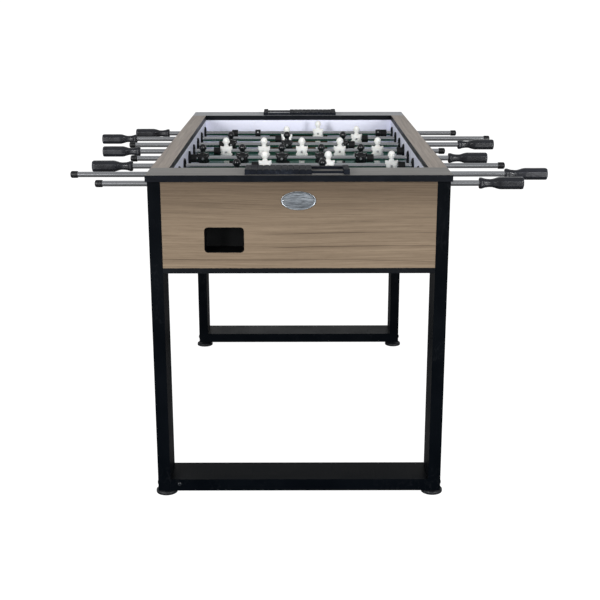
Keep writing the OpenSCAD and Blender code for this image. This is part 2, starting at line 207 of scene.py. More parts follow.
def scratches(g, scale, thin=0.03, rot=(0.3, 0.2, 0.5)):
    """thin random hairlines, 0 to 1"""
    w = g.noise(g.map((1, 1, 1)), 9.0, 1.0)
    v = g.map((scale, scale * 0.07, scale * 0.6), rot=rot)
    n = g.noise(v, 1.0, 2.0, 0.6, 0.4)
    line = g.math("ABSOLUTE", g.math("SUBTRACT", n, 0.5))
    line = g.rng(line, 0.0, thin, 1.0, 0.0)
    return g.math("MULTIPLY", line, g.rng(w, 0.52, 0.62, 0.0, 1.0))


def worn(g, base, lighter, amount=0.6, scale=220.0):
    """edge wear on the bevels, broken up by noise"""
    n = g.noise(g.map(), scale, 3.0, 0.6)
    f = g.math("MULTIPLY", g.attr("wear"), g.rng(n, 0.45, 0.75, 0.0, amount))
    return g.mix(f, base, lighter), f


# ------------------------------------------------------------------ materials
M = {}


def wood(name, axis, across, light, mid, dark, streak, knots=0.75, gloss=0.5, seed=0.0,
         low=None, spec=0.25, lines=1.0, painted_top_shade=None):
    """Printed oak laminate. axis runs along the grain, across runs over it."""
    g = G(name, rough=gloss, spec=spec)
    x, y, z = g.xyz()
    pick = {"x": x, "y": y, "z": z}
    a, c = pick[axis], pick[across]
    third = [pick[k] for k in "xyz" if k not in (axis, across)][0]
    a = g.math("ADD", a, seed * 3.1)
    slow = g.noise(g.comb(g.math("MULTIPLY", a, 1.1), g.math("MULTIPLY", c, 3.5), seed), 1.0, 2.0)
    cc = g.math("ADD", c, g.math("MULTIPLY", g.math("SUBTRACT", slow, 0.5), 0.035))
    P = lambda sa, sc, s=0.0: g.comb(g.math("MULTIPLY", a, sa), g.math("MULTIPLY", cc, sc),
                                     g.math("ADD", g.math("MULTIPLY", third, sc), seed + s))
    broad = g.noise(P(0.7, 9, 1.0), 1.0, 2.0, 0.5)
    band = g.noise(P(1.6, 55, 2.0), 1.0, 3.0, 0.6, 0.2)
    fine = g.noise(P(5.0, 420, 3.0), 1.0, 3.0, 0.65, 0.3)
    fleck = g.noise(P(38.0, 900, 4.0), 1.0, 2.0, 0.6)
    dapple = g.noise(P(22.0, 90, 5.0), 1.0, 3.0, 0.6)
    fib = g.noise(P(9.0, 210, 8.0), 1.0, 3.0, 0.7, 0.2)
    col = g.ramp(g.math("ADD", g.math("MULTIPLY", broad, 0.2),
                        g.math("ADD", g.math("MULTIPLY", band, 0.4), g.math("MULTIPLY", fib, 0.4))),
                 [(0.36, dark), (0.5, mid), (0.64, light)])
    col = g.mix(g.rng(fine, 0.3, 0.62, 0.30, 0.0), col, dark, "MULTIPLY")
    col = g.mix(g.rng(fine, 0.52, 0.8, 0.0, 0.35), col, light)
    col = g.mix(g.rng(dapple, 0.55, 0.8, 0.0, 0.25), col, light)
    col = g.mix(g.rng(fleck, 0.24, 0.40, 0.35, 0.0), col, streak)
    # long thin growth lines, a few of them, fading in and out along the board
    f = g.math("ADD", g.math("MULTIPLY", c, 26.0),
               g.math("MULTIPLY", g.noise(g.comb(g.math("MULTIPLY", a, 0.8),
                                                 g.math("MULTIPLY", c, 5.0), seed + 6), 1.0, 1.0, 0.5), 4.0))
    saw = g.math("FRACT", f)
    line = g.math("ABSOLUTE", g.math("SUBTRACT", saw, 0.5))
    line = g.rng(line, 0.0, 0.045, 1.0, 0.0)
    soft = g.rng(g.math("ABSOLUTE", g.math("SUBTRACT", saw, 0.46)), 0.0, 0.22, 0.22, 0.0)
    mask = g.rng(g.noise(P(2.2, 30, 7.0), 1.0, 2.0, 0.5), 0.38, 0.54)
    if low is not None:
        mask = g.math("MULTIPLY", mask, g.rng(c, low[0], low[1], 1.0, low[2]))
    col = g.mix(g.math("MULTIPLY", g.math("ADD", line, soft), g.math("MULTIPLY", mask, knots * lines), clamp=True),
                col, streak)
    # painted shade: the panel is darkened towards its top, under the rail's overhang
    if painted_top_shade is not None:
        col = g.mix(g.rng(c, painted_top_shade[0], painted_top_shade[1], 0.0, painted_top_shade[2], "SMOOTHSTEP"), col, dark, "MULTIPLY")
    col, w = worn(g, col, light, 0.5, 160)
    ro = g.rng(fine, 0.3, 0.7, gloss + 0.06, gloss - 0.05)
    h = g.math("ADD", g.math("MULTIPLY", fine, 0.7), g.math("MULTIPLY", fleck, 0.5))
    return g.set(Base_Color=col, Roughness=ro, Normal=g.bump(h, 0.25, 0.0006))


OAK = dict(light=lin(136, 120, 101), mid=lin(126, 110, 92), dark=lin(115, 100, 83),
           streak=lin(58, 44, 33), knots=0.75, spec=0.2)
# both oak copies get painted shade, darkening them towards the top under the rail's overhang
M["oak_x"] = wood("oak_end", "x", "z", low=(0.728, 0.75, 0.06), painted_top_shade=(0.715, 0.835, 0.52), seed=0.37, **OAK)
M["oak_y"] = wood("oak_side", "y", "z", low=(0.728, 0.75, 0.06), painted_top_shade=(0.715, 0.835, 0.52), seed=2.37, **OAK)
# painted light: the four rails are one weathered wood given three colour sets for how each is lit; the side rails are
# painted lighter than the front rail, and the rear rail lighter and bluer still for the sheen it shows at a grazing
# view
RAIL = dict(gloss=0.42, spec=0.3, lines=0.6)
M["rail_x"] = wood("rail_end", "x", "y", seed=4.1, light=lin(156, 153, 149), mid=lin(141, 138, 134),
                   dark=lin(119, 117, 113), streak=lin(84, 79, 74), **RAIL)
M["rail_y"] = wood("rail_side", "y", "x", seed=5.7, light=lin(196, 183, 170), mid=lin(181, 168, 156),
                   dark=lin(158, 146, 136), streak=lin(106, 95, 86), **RAIL)
M["rail_far_painted_sheen"] = wood("rail_rear_painted_sheen", "x", "y", seed=9.3, light=lin(202, 204, 207), mid=lin(188, 190, 194),
                     dark=lin(166, 168, 171), streak=lin(98, 95, 92), **RAIL)
M["ply"] = wood("batten", "x", "z", seed=7.7, gloss=0.6, light=lin(205, 178, 138),
                mid=lin(186, 156, 116), dark=lin(160, 128, 92), streak=lin(130, 98, 64))


def black_edge():
    g = G("black_edge_band", rough=0.42, spec=0.12)
    x, y, z = g.xyz()
    n = g.noise(g.map((60, 60, 260)), 1.0, 3.0, 0.6)
    d = g.noise(g.map(), 14.0, 3.0, 0.6)
    col = g.mix(g.rng(n, 0.35, 0.7), lin(4, 7, 13), lin(9, 13, 21))
    col = g.mix(g.rng(d, 0.5, 0.75, 0.0, 0.3), col, lin(18, 21, 27))
    col, w = worn(g, col, lin(58, 57, 57), 0.4)
    return g.set(Base_Color=col, Roughness=g.rng(d, 0.35, 0.7, 0.38, 0.5),
                 Normal=g.bump(n, 0.25, 0.0005))


M["edge"] = black_edge()


def powder(name, tone=1.0, spec=0.06, rough=0.38):
    """Satin black powder coat with a fine orange peel, dust and small scuffs"""
    g = G(name, rough=rough, spec=spec)
    peel = g.noise(g.map(), 900.0, 2.0, 0.5)
    peel2 = g.noise(g.map(), 260.0, 2.0, 0.5)
    cloud = g.noise(g.map(), 7.0, 3.0, 0.55)
    base = g.mix(g.rng(cloud, 0.35, 0.7), (0.0004 * tone, 0.0011 * tone, 0.0022 * tone, 1),
                 (0.0011 * tone, 0.0021 * tone, 0.0037 * tone, 1))
    sc = scratches(g, 40.0, 0.02)
    base = g.mix(g.math("MULTIPLY", sc, 0.10), base, lin(44, 46, 50))
    dust = g.rng(g.noise(g.map(), 420.0, 2.0, 0.7), 0.68, 0.80, 0.0, 0.14)
    base = g.mix(dust, base, lin(44, 46, 50))
    base, w = worn(g, base, lin(74, 77, 82), 0.55)
    ro = g.math("ADD", g.rng(cloud, 0.3, 0.7, rough - 0.05, rough + 0.08), g.math("MULTIPLY", sc, 0.1))
    h = g.math("ADD", g.math("MULTIPLY", peel, 0.6), g.math("MULTIPLY", peel2, 0.6))
    return g.set(Base_Color=base, Roughness=ro, Normal=g.bump(h, 0.22, 0.0004))


M["metal"] = powder("black_powder_coat")
M["bottom"] = powder("black_foil_panel", 1.2, 0.14, 0.45)


def white_wall():
    g = G("white_laminate", rough=0.34, spec=0.5)
    cloud = g.noise(g.map(), 3.0, 3.0, 0.5)
    tex = g.noise(g.map(), 500.0, 2.0, 0.6)
    col = g.mix(g.rng(cloud, 0.3, 0.7), lin(233, 234, 255), lin(239, 240, 255))
    sc = scratches(g, 16.0, 0.018, (0.2, 0.9, 0.1))
    col = g.mix(g.math("MULTIPLY", sc, 0.10), col, lin(176, 172, 188))
    x, y, z = g.xyz()
    # grey patches in a band along the bottom of the wall, strongest at the bottom
    low_grey_band = g.math("MULTIPLY", g.rng(z, 0.735, 0.775, 1.0, 0.0),
                   g.rng(g.noise(g.map((30, 30, 90)), 1.0, 3.0, 0.6), 0.5, 0.72))
    col = g.mix(g.math("MULTIPLY", low_grey_band, 0.22), col, lin(150, 150, 160))
    col, w = worn(g, col, lin(246, 244, 250), 0.4)
    return g.set(Base_Color=col, Roughness=g.rng(cloud, 0.3, 0.7, 0.3, 0.42),
                 Normal=g.bump(tex, 0.12, 0.0004))


M["white"] = white_wall()


def field_green():
    g = G("field_green", rough=0.36, spec=0.4)
    x, y, z = g.xyz()
    fib = g.noise(g.map((700, 700, 700)), 1.0, 3.0, 0.6)
    cloud = g.noise(g.map(), 5.0, 3.0, 0.5)
    # bands half a rod pitch wide, darker on the far side of each rod and lighter on the near side
    rod_pitch_bands = g.rng(g.math("SINE", g.math("MULTIPLY", y, pi / 0.0735)), -0.12, 0.12)
    col = g.mix(rod_pitch_bands, lin(8, 92, 68), lin(14, 104, 78))
    col = g.mix(g.rng(fib, 0.3, 0.7, 0.25, 0.0), col, lin(4, 66, 48))
    col = g.mix(g.rng(cloud, 0.4, 0.7, 0.0, 0.3), col, lin(22, 116, 88))
    # plain painted lines: halfway line, centre circle and spot, goal areas
    ax, ay = g.math("ABSOLUTE", x), g.math("ABSOLUTE", y)
    w = 0.0016
    half = g.rng(ay, w - 0.0002, w + 0.0002, 1.0, 0.0)
    r = g.math("SQRT", g.math("ADD", g.math("MULTIPLY", x, x), g.math("MULTIPLY", y, y)))
    circ = g.rng(g.math("ABSOLUTE", g.math("SUBTRACT", r, 0.058)), w - 0.0002, w + 0.0002, 1.0, 0.0)
    spot = g.rng(r, 0.0045, 0.005, 1.0, 0.0)
    gx = g.math("MULTIPLY", g.rng(g.math("ABSOLUTE", g.math("SUBTRACT", ax, 0.135)), w - 0.0002, w + 0.0002, 1.0, 0.0),
                g.rng(ay, 0.5335, 0.534, 0.0, 1.0))
    gy = g.math("MULTIPLY", g.rng(g.math("ABSOLUTE", g.math("SUBTRACT", ay, 0.535)), w - 0.0002, w + 0.0002, 1.0, 0.0),
                g.rng(ax, 0.1365, 0.137, 1.0, 0.0))
    lines = half
    for k in (circ, spot, gx, gy):
        lines = g.math("MAXIMUM", lines, k)
    wearn = g.rng(g.noise(g.map(), 260.0, 3.0, 0.6), 0.3, 0.5, 0.55, 0.95)
    col = g.mix(g.math("MULTIPLY", lines, wearn), col, lin(226, 228, 222))
    sc = scratches(g, 12.0, 0.015, (0, 0, 0.6))
    col = g.mix(g.math("MULTIPLY", sc, 0.25), col, lin(90, 140, 120))
    return g.set(Base_Color=col, Roughness=g.rng(cloud, 0.3, 0.7, 0.32, 0.45),
                 Normal=g.bump(fib, 0.2, 0.0004))


M["field"] = field_green()


def chrome():
    g = G("rod_steel", rough=0.16, metal=1.0)
    ring = g.noise(g.map((900, 30, 30)), 1.0, 2.0, 0.5)
    rub = g.noise(g.map((5, 40, 40)), 1.0, 2.0, 0.5)
    col = g.mix(g.rng(rub, 0.35, 0.7), lin(206, 208, 212), lin(186, 187, 190))
    col = g.mix(g.rng(ring, 0.25, 0.5, 0.14, 0.0), col, lin(140, 142, 146))
    spots = g.rng(g.noise(g.map((260, 900, 900)), 1.0, 2.0, 0.6), 0.72, 0.82, 0.0, 0.25)
    col = g.mix(spots, col, lin(120, 116, 110))
    ro = g.math("ADD", g.rng(rub, 0.3, 0.7, 0.13, 0.19), g.math("MULTIPLY", spots, 0.2))
    return g.set(Base_Color=col, Roughness=ro, Normal=g.bump(ring, 0.02, 0.0001))


M["chrome"] = chrome()


def plastic(name, lo, hi, rough=0.38, spec=0.4, grain=600.0, depth=0.25, edge=(90, 92, 96), amount=0.5,
            streaks=0.3):
    """Moulded plastic: fine cast grain, slight gloss variation, rubbed edges and hairlines"""
    g = G(name, rough=rough, spec=spec)
    gr = g.noise(g.map(), grain, 2.0, 0.55)
    cloud = g.noise(g.map(), 22.0, 3.0, 0.6)
    col = g.mix(g.rng(cloud, 0.35, 0.68), lin(*lo), lin(*hi))
    sc = scratches(g, 90.0, 0.03)
    col = g.mix(g.math("MULTIPLY", sc, streaks), col, lin(*edge))
    col, w = worn(g, col, lin(*edge), amount)
    ro = g.math("ADD", g.rng(cloud, 0.3, 0.7, rough - 0.06, rough + 0.1), g.math("MULTIPLY", sc, 0.12))
    return g.set(Base_Color=col, Roughness=ro, Normal=g.bump(gr, depth, 0.0003))


M["plastic"] = plastic("black_plastic", (11, 13, 17), (20, 22, 27), 0.42, 0.35)
M["bushing"] = plastic("bushing_nylon", (5, 7, 12), (12, 14, 21), 0.6, 0.08)
M["handle"] = plastic("handle_black", (9, 11, 18), (18, 21, 31), 0.27, 0.75, 420.0, 0.12, (84, 90, 104), 0.6, 0.07)
M["tray"] = plastic("ball_return_black", (3, 4, 5), (7, 8, 9), 0.5, 0.12, 500.0, 0.3, (40, 42, 44), 0.4, 0.2)
M["cap"] = plastic("cap_black", (6, 7, 10), (12, 13, 17), 0.36, 0.45)
M["tile"] = plastic("tile_black", (9, 13, 21), (18, 23, 33), 0.5, 0.10, 520.0, 0.2, (78, 84, 96), 0.45, 0.25)
M["collar"] = plastic("collar_black", (10, 11, 15), (18, 19, 24), 0.36, 0.4)
M["man_black"] = plastic("men_black", (10, 11, 14), (19, 20, 24), 0.26, 0.55, 500.0, 0.15, (60, 62, 68), 0.4, 0.15)


def man_white():
    g = G("men_white", rough=0.33, spec=0.5, Subsurface_Weight=0.12)
    g.b.inputs["Subsurface Radius"].default_value = (0.004, 0.0035, 0.003)
    g.b.inputs["Subsurface Scale"].default_value = 1.0
    gr = g.noise(g.map(), 480.0, 2.0, 0.5)
    cloud = g.noise(g.map(), 60.0, 3.0, 0.6)
    col = g.mix(g.rng(cloud, 0.3, 0.7), lin(236, 236, 233), lin(246, 246, 243))
    x, y, z = g.xyz()
    # painted shade and painted green bounce light from the field: the feet are darkened and tinted green
    foot = g.math("MULTIPLY", g.rng(z, -0.070, -0.052, 1.0, 0.0), g.rng(cloud, 0.4, 0.65))
    col = g.mix(g.math("MULTIPLY", foot, 0.3), col, lin(178, 182, 176))
    sc = scratches(g, 120.0, 0.03)
    col = g.mix(g.math("MULTIPLY", sc, 0.15), col, lin(186, 186, 184))
    return g.set(Base_Color=col, Roughness=g.rng(cloud, 0.3, 0.7, 0.28, 0.4), Normal=g.bump(gr, 0.12, 0.0003))


M["man_white"] = man_white()


def rubber():
    g = G("black_rubber", rough=0.62, spec=0.3)
    gr = g.noise(g.map(), 900.0, 3.0, 0.6)
    cloud = g.noise(g.map(), 80.0, 3.0, 0.6)
    col = g.mix(g.rng(cloud, 0.3, 0.7), lin(9, 10, 12), lin(21, 22, 24))
    dust = g.rng(g.noise(g.map(), 260.0, 2.0, 0.7), 0.6, 0.8, 0.0, 0.3)
    col = g.mix(dust, col, lin(62, 62, 62))
    col, w = worn(g, col, lin(56, 57, 60), 0.5)
    return g.set(Base_Color=col, Roughness=g.rng(cloud, 0.3, 0.7, 0.55, 0.75), Normal=g.bump(gr, 0.4, 0.0003))


M["rubber"] = rubber()


def metal(name, lo, hi, rough, aniso=0.0, brush=(30, 30, 900), strength=0.12):
    g = G(name, rough=rough, metal=1.0)
    g.b.inputs["Anisotropic"].default_value = aniso
    br = g.noise(g.map(brush), 1.0, 3.0, 0.6)
    cloud = g.noise(g.map(), 60.0, 3.0, 0.6)
    col = g.mix(g.rng(br, 0.3, 0.7), lin(*lo), lin(*hi))
    col = g.mix(g.rng(cloud, 0.45, 0.7, 0.0, 0.3), col, lin(*lo))
    col, w = worn(g, col, lin(226, 230, 234), 0.5)
    ro = g.math("ADD", g.rng(br, 0.3, 0.7, rough - 0.05, rough + 0.07), g.rng(cloud, 0.4, 0.7, 0.0, 0.06))
    return g.set(Base_Color=col, Roughness=ro, Normal=g.bump(br, strength, 0.0002))


M["badge"] = metal("brushed_badge", (92, 98, 105), (166, 172, 178), 0.34, 0.4, (70, 70, 900), 0.3)
M["pin"] = metal("badge_pin", (214, 218, 222), (236, 238, 240), 0.16)
M["screw"] = metal("zinc_screw", (176, 178, 180), (208, 209, 210), 0.3, 0.0, (500, 500, 500), 0.1)
M["bolt"] = powder("bolt_black", 2.0, 0.4, 0.3)
M["zinc"] = metal("zinc_bolt", (160, 162, 164), (198, 199, 200), 0.34, 0.0, (300, 300, 300), 0.1)


# ------------------------------------------------------------------ mesh helpers
def make(name, bm, mats=("metal",), sharp=32.0, weighted=True, tri=False):
    me = bpy.data.meshes.new(name)
    bmesh.ops.recalc_face_normals(bm, faces=bm.faces)
    bm.normal_update()
    bm.to_mesh(me)
    bm.free()
    for m in mats:
        me.materials.append(M[m] if isinstance(m, str) else m)
    for p in me.polygons:
        p.use_smooth = True
    me.set_sharp_from_angle(angle=radians(sharp))
    ob = bpy.data.objects.new(name, me)
    COL.objects.link(ob)
    if weighted:
        w = ob.modifiers.new("weighted", "WEIGHTED_NORMAL")
        w.keep_sharp = True
        w.weight = 80
    return ob


def own(ob, body, slot, *nodes):
    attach(ob, body)
    if nodes:
        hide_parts(*nodes)
    return ob


def wear_layer(bm):
    return bm.verts.layers.float.get("wear") or bm.verts.layers.float.new("wear")


def bevel(bm, w, seg=3, angle=28.0, geom=None, profile=0.5, wear=True):
    lay = wear_layer(bm)
    edges = [e for e in (geom if geom is not None else bm.edges)
             if e.is_valid and len(e.link_faces) == 2 and abs(e.calc_face_angle(0.0)) > radians(angle)]
    if not edges:
        return
    r = bmesh.ops.bevel(bm, geom=edges, offset=w * K, offset_type="OFFSET", segments=seg,
                        profile=profile, affect="EDGES", clamp_overlap=True)
    if wear:
        new = set(r["faces"])
        for v in r["verts"]:
            if v.is_valid and all(f in new for f in v.link_faces):
                v[lay] = 1.0


def add_box(bm, lo, hi, mat=0):
    """a box in mm, lo and hi corners"""
    vs = [bm.verts.new((x * K, y * K, z * K)) for x in (lo[0], hi[0]) for y in (lo[1], hi[1]) for z in (lo[2], hi[2])]
    fs = []
    for q in ((0, 1, 3, 2), (4, 6, 7, 5), (0, 4, 5, 1), (2, 3, 7, 6), (0, 2, 6, 4), (1, 5, 7, 3)):
        f = bm.faces.new([vs[i] for i in q])
        f.material_index = mat
        fs.append(f)
    return vs, fs


def rounded_box(name, lo, hi, r, mats, seg=3):
    bm = bmesh.new()
    add_box(bm, lo, hi)
    bevel(bm, r, seg)
    return make(name, bm, mats)


def lathe(bm, prof, n=32, M4=None, mat=0, closed=False, wear=None):
    """Revolves prof, a list of (along, radius) in mm, about +X through the origin, then applies M4"""
    M4 = M4 or Matrix.Identity(4)
    lay = wear_layer(bm)
    rings = []
    for k, (x, r) in enumerate(prof):
        if r < 1e-6:
            v = bm.verts.new(M4 @ Vector((x * K, 0, 0)))
            ring = [v] * n
        else:
            ring = [bm.verts.new(M4 @ Vector((x * K, r * K * cos(2 * pi * j / n), r * K * sin(2 * pi * j / n))))
                    for j in range(n)]
        if wear and k in wear:
            for v in set(ring):
                v[lay] = 1.0
        rings.append(ring)
    pairs = list(zip(rings, rings[1:]))
    if closed:
        pairs.append((rings[-1], rings[0]))
    for a, b in pairs:
        for j in range(n):
            q = []
            for v in (a[j], a[(j + 1) % n], b[(j + 1) % n], b[j]):
                if v not in q:
                    q.append(v)
            if len(q) > 2:
                try:
                    f = bm.faces.new(q)
                    f.material_index = mat
                    f.smooth = True
                except ValueError:
                    pass
    return rings


def at(x, y, z, axis="x", sign=1):
    """Matrix taking +X of a lathe to an axis, at a point in mm"""
    T = Matrix.Translation((x * K, y * K, z * K))
    if axis == "x":
        R = Matrix.Identity(4) if sign > 0 else Matrix.Rotation(pi, 4, "Z")
    elif axis == "y":
        R = Matrix.Rotation(pi / 2 * sign, 4, "Z")
    else:
        R = Matrix.Rotation(-pi / 2 * sign, 4, "Y")
    return T @ R


def loft(bm, rings, mat=0, cap=True):
    """rings: lists of points (mm), all of one length"""
    vr = [[bm.verts.new(Vector(p) * K) for p in r] for r in rings]
    n = len(vr[0])
    for a, b in zip(vr, vr[1:]):
        for j in range(n):
            f = bm.faces.new((a[j], a[(j + 1) % n], b[(j + 1) % n], b[j]))
            f.material_index = mat
    if cap:
        f = bm.faces.new(vr[0][::-1]); f.material_index = mat
        f = bm.faces.new(vr[-1]); f.material_index = mat
    return vr


def prism(bm, poly, lo, hi, axis="y", mat=0):
    """poly: 2D points in the plane across axis, extruded from lo to hi (mm)"""
    def P(p, t):
        if axis == "y":
            return (p[0], t, p[1])
        if axis == "x":
            return (t, p[0], p[1])
        return (p[0], p[1], t)
    return loft(bm, [[P(p, lo) for p in poly], [P(p, hi) for p in poly]], mat)


def cad_bm(node, merge=0.00002, dissolve=1.2):
    bm = bmesh.new()
    bm.from_mesh(frame["nodes"][node].data)
    bmesh.ops.remove_doubles(bm, verts=bm.verts, dist=merge)
    bmesh.ops.dissolve_limit(bm, angle_limit=radians(dissolve), verts=bm.verts, edges=bm.edges)
    return bm


def mm(node):
    a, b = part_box(node)
    return [v * 1000 for v in a], [v * 1000 for v in b]


def rrect(w, h, r, n=5, c=(0, 0)):
    """rounded rectangle outline, anticlockwise"""
    out = []
    for k, (sx, sy) in enumerate(((1, 1), (-1, 1), (-1, -1), (1, -1))):
        for j in range(n + 1):
            a = pi / 2 * (k + j / n)
            out.append((c[0] + sx * (w / 2 - r) + r * cos(a), c[1] + sy * (h / 2 - r) + r * sin(a)))
    return out


# ------------------------------------------------------------------ rail frame
(rx0, ry0, rz0), (rx1, ry1, rz1) = mm("top_rails")
(fx0, fy0, fz0), (fx1, fy1, fz1) = mm("playfield")
(gx0, gy0, gz0), (gx1, gy1, gz1) = mm("goal_walls")
(px0, py0, pz0), (px1, py1, pz1) = mm("end_panels")
END_Y, BOX_X = -py0, px1                      # 690, 338
ERW, SRW = 118.0, 46.6
PITCH = 146.4
ROD_Y = {i: (i - 4.5) * PITCH for i in range(1, 9)}


def board(name, lo, hi, face_mat, r=0.7):
    bm = bmesh.new()
    add_box(bm, lo, hi, 1)
    bevel(bm, r, 3)
    bm.normal_update()
    for f in bm.faces:
        if abs(f.normal.z) > 0.98:
            f.material_index = 0
        else:
            f.material_index = 1
    return make(name, bm, (face_mat, "edge"))


for nm, s in (("front", -1), ("rear", 1)):
    y = sorted((s * ry1, s * (ry1 - ERW)))
    ob = board(f"rail_end_{nm}", (rx0, y[0], rz0), (rx1, y[1], rz1),
               "rail_x" if s < 0 else "rail_far_painted_sheen")
    own(ob, "cabinet", "rail_top", "top_rails")
for nm, s in (("left", -1), ("right", 1)):
    x = sorted((s * rx1, s * (rx1 - SRW)))
    ob = board(f"rail_side_{nm}", (x[0], ry0 + ERW + 0.12, rz0), (x[1], ry1 - ERW - 0.12, rz1), "rail_y")
    own(ob, "cabinet", "rail_top", "top_rails")


# ------------------------------------------------------------------ cabinet panels
def panel(node, name, slot, mats, pick, r=0.8, seg=2):
    bm = cad_bm(node)
    bevel(bm, r, seg)
    bm.normal_update()
    for f in bm.faces:
        f.material_index = pick(f.normal, f.calc_center_median() * 1000)
    return own(make(name, bm, mats), "cabinet", slot, node)


panel("end_panels", "end_panels_oak", "oak_panel", ("oak_x", "edge"),
      lambda n, c: 0 if abs(n.y) > 0.9 else 1, 0.6)
panel("side_panels", "side_panels_oak", "oak_panel", ("oak_y", "white", "edge"),
      lambda n, c: (0 if n.x * c.x > 0 else 1) if abs(n.x) > 0.9 else 2, 0.5)
panel("goal_walls", "goal_walls_white", "white_wall", ("white",), lambda n, c: 0, 1.2, 3)
panel("bottom_panel", "bottom_panel_black", "black_trim", ("bottom",), lambda n, c: 0, 0.6, 2)
panel("playfield", "playfield_green", "field_green", ("field", "edge"),
      lambda n, c: 0 if n.z > 0.9 else 1, 0.4, 2)
panel("field_supports", "field_battens", "plain_wood", ("ply",), lambda n, c: 0, 1.0, 2)
panel("ball_returns", "ball_return_trays", "black_plastic", ("tray",), lambda n, c: 0, 0.7, 2)

# ------------------------------------------------------------------ stands
(lx0, ly0, lz0), (lx1, ly1, lz1) = mm("legs")
(cx0, cy0, cz0), (cx1, cy1, cz1) = mm("crossbars")
LW = lx1 - BOX_X
LD = 108.0


def tube(name, lo, hi, r, up_axis):
    """Rectangular tube with rolled corners along one axis, and its ends cut square"""
    bm = bmesh.new()
    lay = wear_layer(bm)
    ax = "xyz".index(up_axis)
    add_box(bm, lo, hi)
    long = [e for e in bm.edges
            if abs((e.verts[0].co - e.verts[1].co)[ax]) > 1e-6]
    bevel(bm, r, 5, geom=long)
    ends = [e for e in bm.edges if abs((e.verts[0].co - e.verts[1].co)[ax]) < 1e-6]
    bevel(bm, 0.35, 2, geom=ends, angle=50)
    return make(name, bm, ("metal",), 40)


for sx, nx in ((-1, "left"), (1, "right")):
    for sy, ny in ((-1, "front"), (1, "rear")):
        x = sorted((sx * BOX_X, sx * lx1))
        y = sorted((sy * END_Y, sy * (END_Y - LD)))
        own(tube(f"leg_{ny}_{nx}", (x[0], y[0], lz0), (x[1], y[1], lz1 - 0.1), 2.2, "z"),
            "cabinet", "black_metal", "legs")
for sy, ny in ((-1, "front"), (1, "rear")):
    y = sorted((sy * END_Y, sy * (END_Y - LD)))
    own(tube(f"crossbar_{ny}", (cx0 + 0.15, y[0], cz0), (cx1 - 0.15, y[1], cz1), 2.2, "x"),
        "cabinet", "black_metal", "crossbars")

bm = bmesh.new()
for sx in (-1, 1):
    for sy in (-1, 1):
        M4 = at(sx * (BOX_X + LW / 2), sy * (END_Y - LD / 2), 0, "z")
        lathe(bm, [(0, 0), (0, 27.2), (0.5, 28.0), (1.6, 28.5), (6.2, 28.5), (7.4, 28.1), (9.0, 26.9), (10.3, 25.2),
                   (11.6, 22.6), (13.2, 19.6), (15.0, 17.2), (17.4, 14.8), (19.6, 13.3), (22.0, 12.3), (23.6, 12.0),
                   (24.4, 11.4), (25.0, 10.6), (26.5, 10.5), (26.5, 5.0), (42.0, 5.0), (42.4, 4.4), (42.4, 0)],
              48, M4, wear={3, 5})
own(make("levelling_feet_black", bm, ("plastic",), 35), "cabinet", "black_plastic", "levelling_feet")

# domed bolts, crossbar screws, cabinet bolts
bm = bmesh.new()
DOME = lambda d, h: [(-1.0, 0), (-1.0, d / 2), (0, d / 2)] + [
    (h * sin(radians(a)), d / 2 * cos(radians(a)) ** 0.8) for a in range(8, 89, 8)] + [(h, 0)]
BZ = cz0 + (cz1 - cz0) / 2
for sx in (-1, 1):
    for sy in (-1, 1):
        for k in (-34, 34):
            lathe(bm, DOME(14.5, 4.0), 32, at(sx * lx1, sy * (END_Y - LD / 2) + k, BZ, "x", sx), wear={10, 11})
            lathe(bm, [(-9, 0), (-9, 4), (31, 4), (31, 0)], 16, at(sx * BOX_X, sy * (END_Y - LD / 2) + k, BZ, "x", sx))
            lathe(bm, [(-12, 0), (-12, 7.2), (-11.5, 7.5), (-6.5, 7.5), (-6, 7.2), (-6, 0)], 6,
                  at(sx * BOX_X, sy * (END_Y - LD / 2) + k, BZ, "x", sx))
for s in (-1, 1):
    lathe(bm, DOME(13.0, 4.0), 32, at(s * 314, s * END_Y, 46, "y", s), wear={10, 11})
own(make("stand_bolts_black", bm, ("bolt",), 40), "cabinet", "bolt_metal", "leg_bolts")
bm = bmesh.new()
for sx in (-1, 1):
    for sy in (-1, 1):
        for z in (rz0 - 30, pz0 + 30):
            M4 = at(sx * BOX_X, sy * (END_Y - LD / 2 - 22), z, "x", sx)
            lathe(bm, [(-12, 0), (-12, 4), (2.5, 4), (2.5, 0)], 16, M4)
            lathe(bm, [(-16, 0), (-16, 6.5), (-15.2, 7.8), (-13, 8.5), (-12, 8.5), (-12, 0)], 24, M4)
own(make("cabinet_bolts_zinc", bm, ("zinc",), 40), "cabinet", "bolt_metal", "leg_bolts")

# ------------------------------------------------------------------ bushings
SIDE_IN = gx1                                 # 326
bm = bmesh.new()
for i in range(1, 9):
    rz = sum(v[2] for v in mm(f"rod_{i}")) / 2
    for s in (-1, 1):
        M4 = at(s * SIDE_IN, ROD_Y[i], rz, "x", s)
        lathe(bm, [(-2.5, 7.62), (-2.5, 12.6), (-3.0, 13.2), (-4.7, 14.4), (-5.2, 16.0), (-5.0, 18.8), (-4.0, 20.8),
                   (-2.4, 21.8), (-1.0, 22), (0, 22), (0, 15),
                   (12, 15), (12, 22), (14.0, 22), (14.8, 21.5), (15.2, 19.8), (15.6, 17.2), (18, 16.4), (24.6, 15),
                   (25.6, 14.2), (26, 12.6), (26, 8.6), (25.4, 7.62)], 48, M4, closed=True, wear={4, 6, 16, 17})
own(make("rod_bushings_nylon", bm, ("bushing",), 35), "cabinet", "black_plastic", "rod_bushings")

# ------------------------------------------------------------------ badge
bx0, bx1 = mm("badge")
bc = ((bx0[0] + bx1[0]) / 2, (bx0[2] + bx1[2]) / 2)


def tip_oval(w, h, y, n=72, e=2.0):
    pts = []
    for k in range(n):
        a = 2 * pi * k / n
        ca, sa = cos(a), sin(a)
        pts.append((bc[0] + w / 2 * math.copysign(abs(ca) ** (2 / e), ca), -END_Y - y,
                    bc[1] + h / 2 * math.copysign(abs(sa) ** (2 / e), sa)))
    return pts


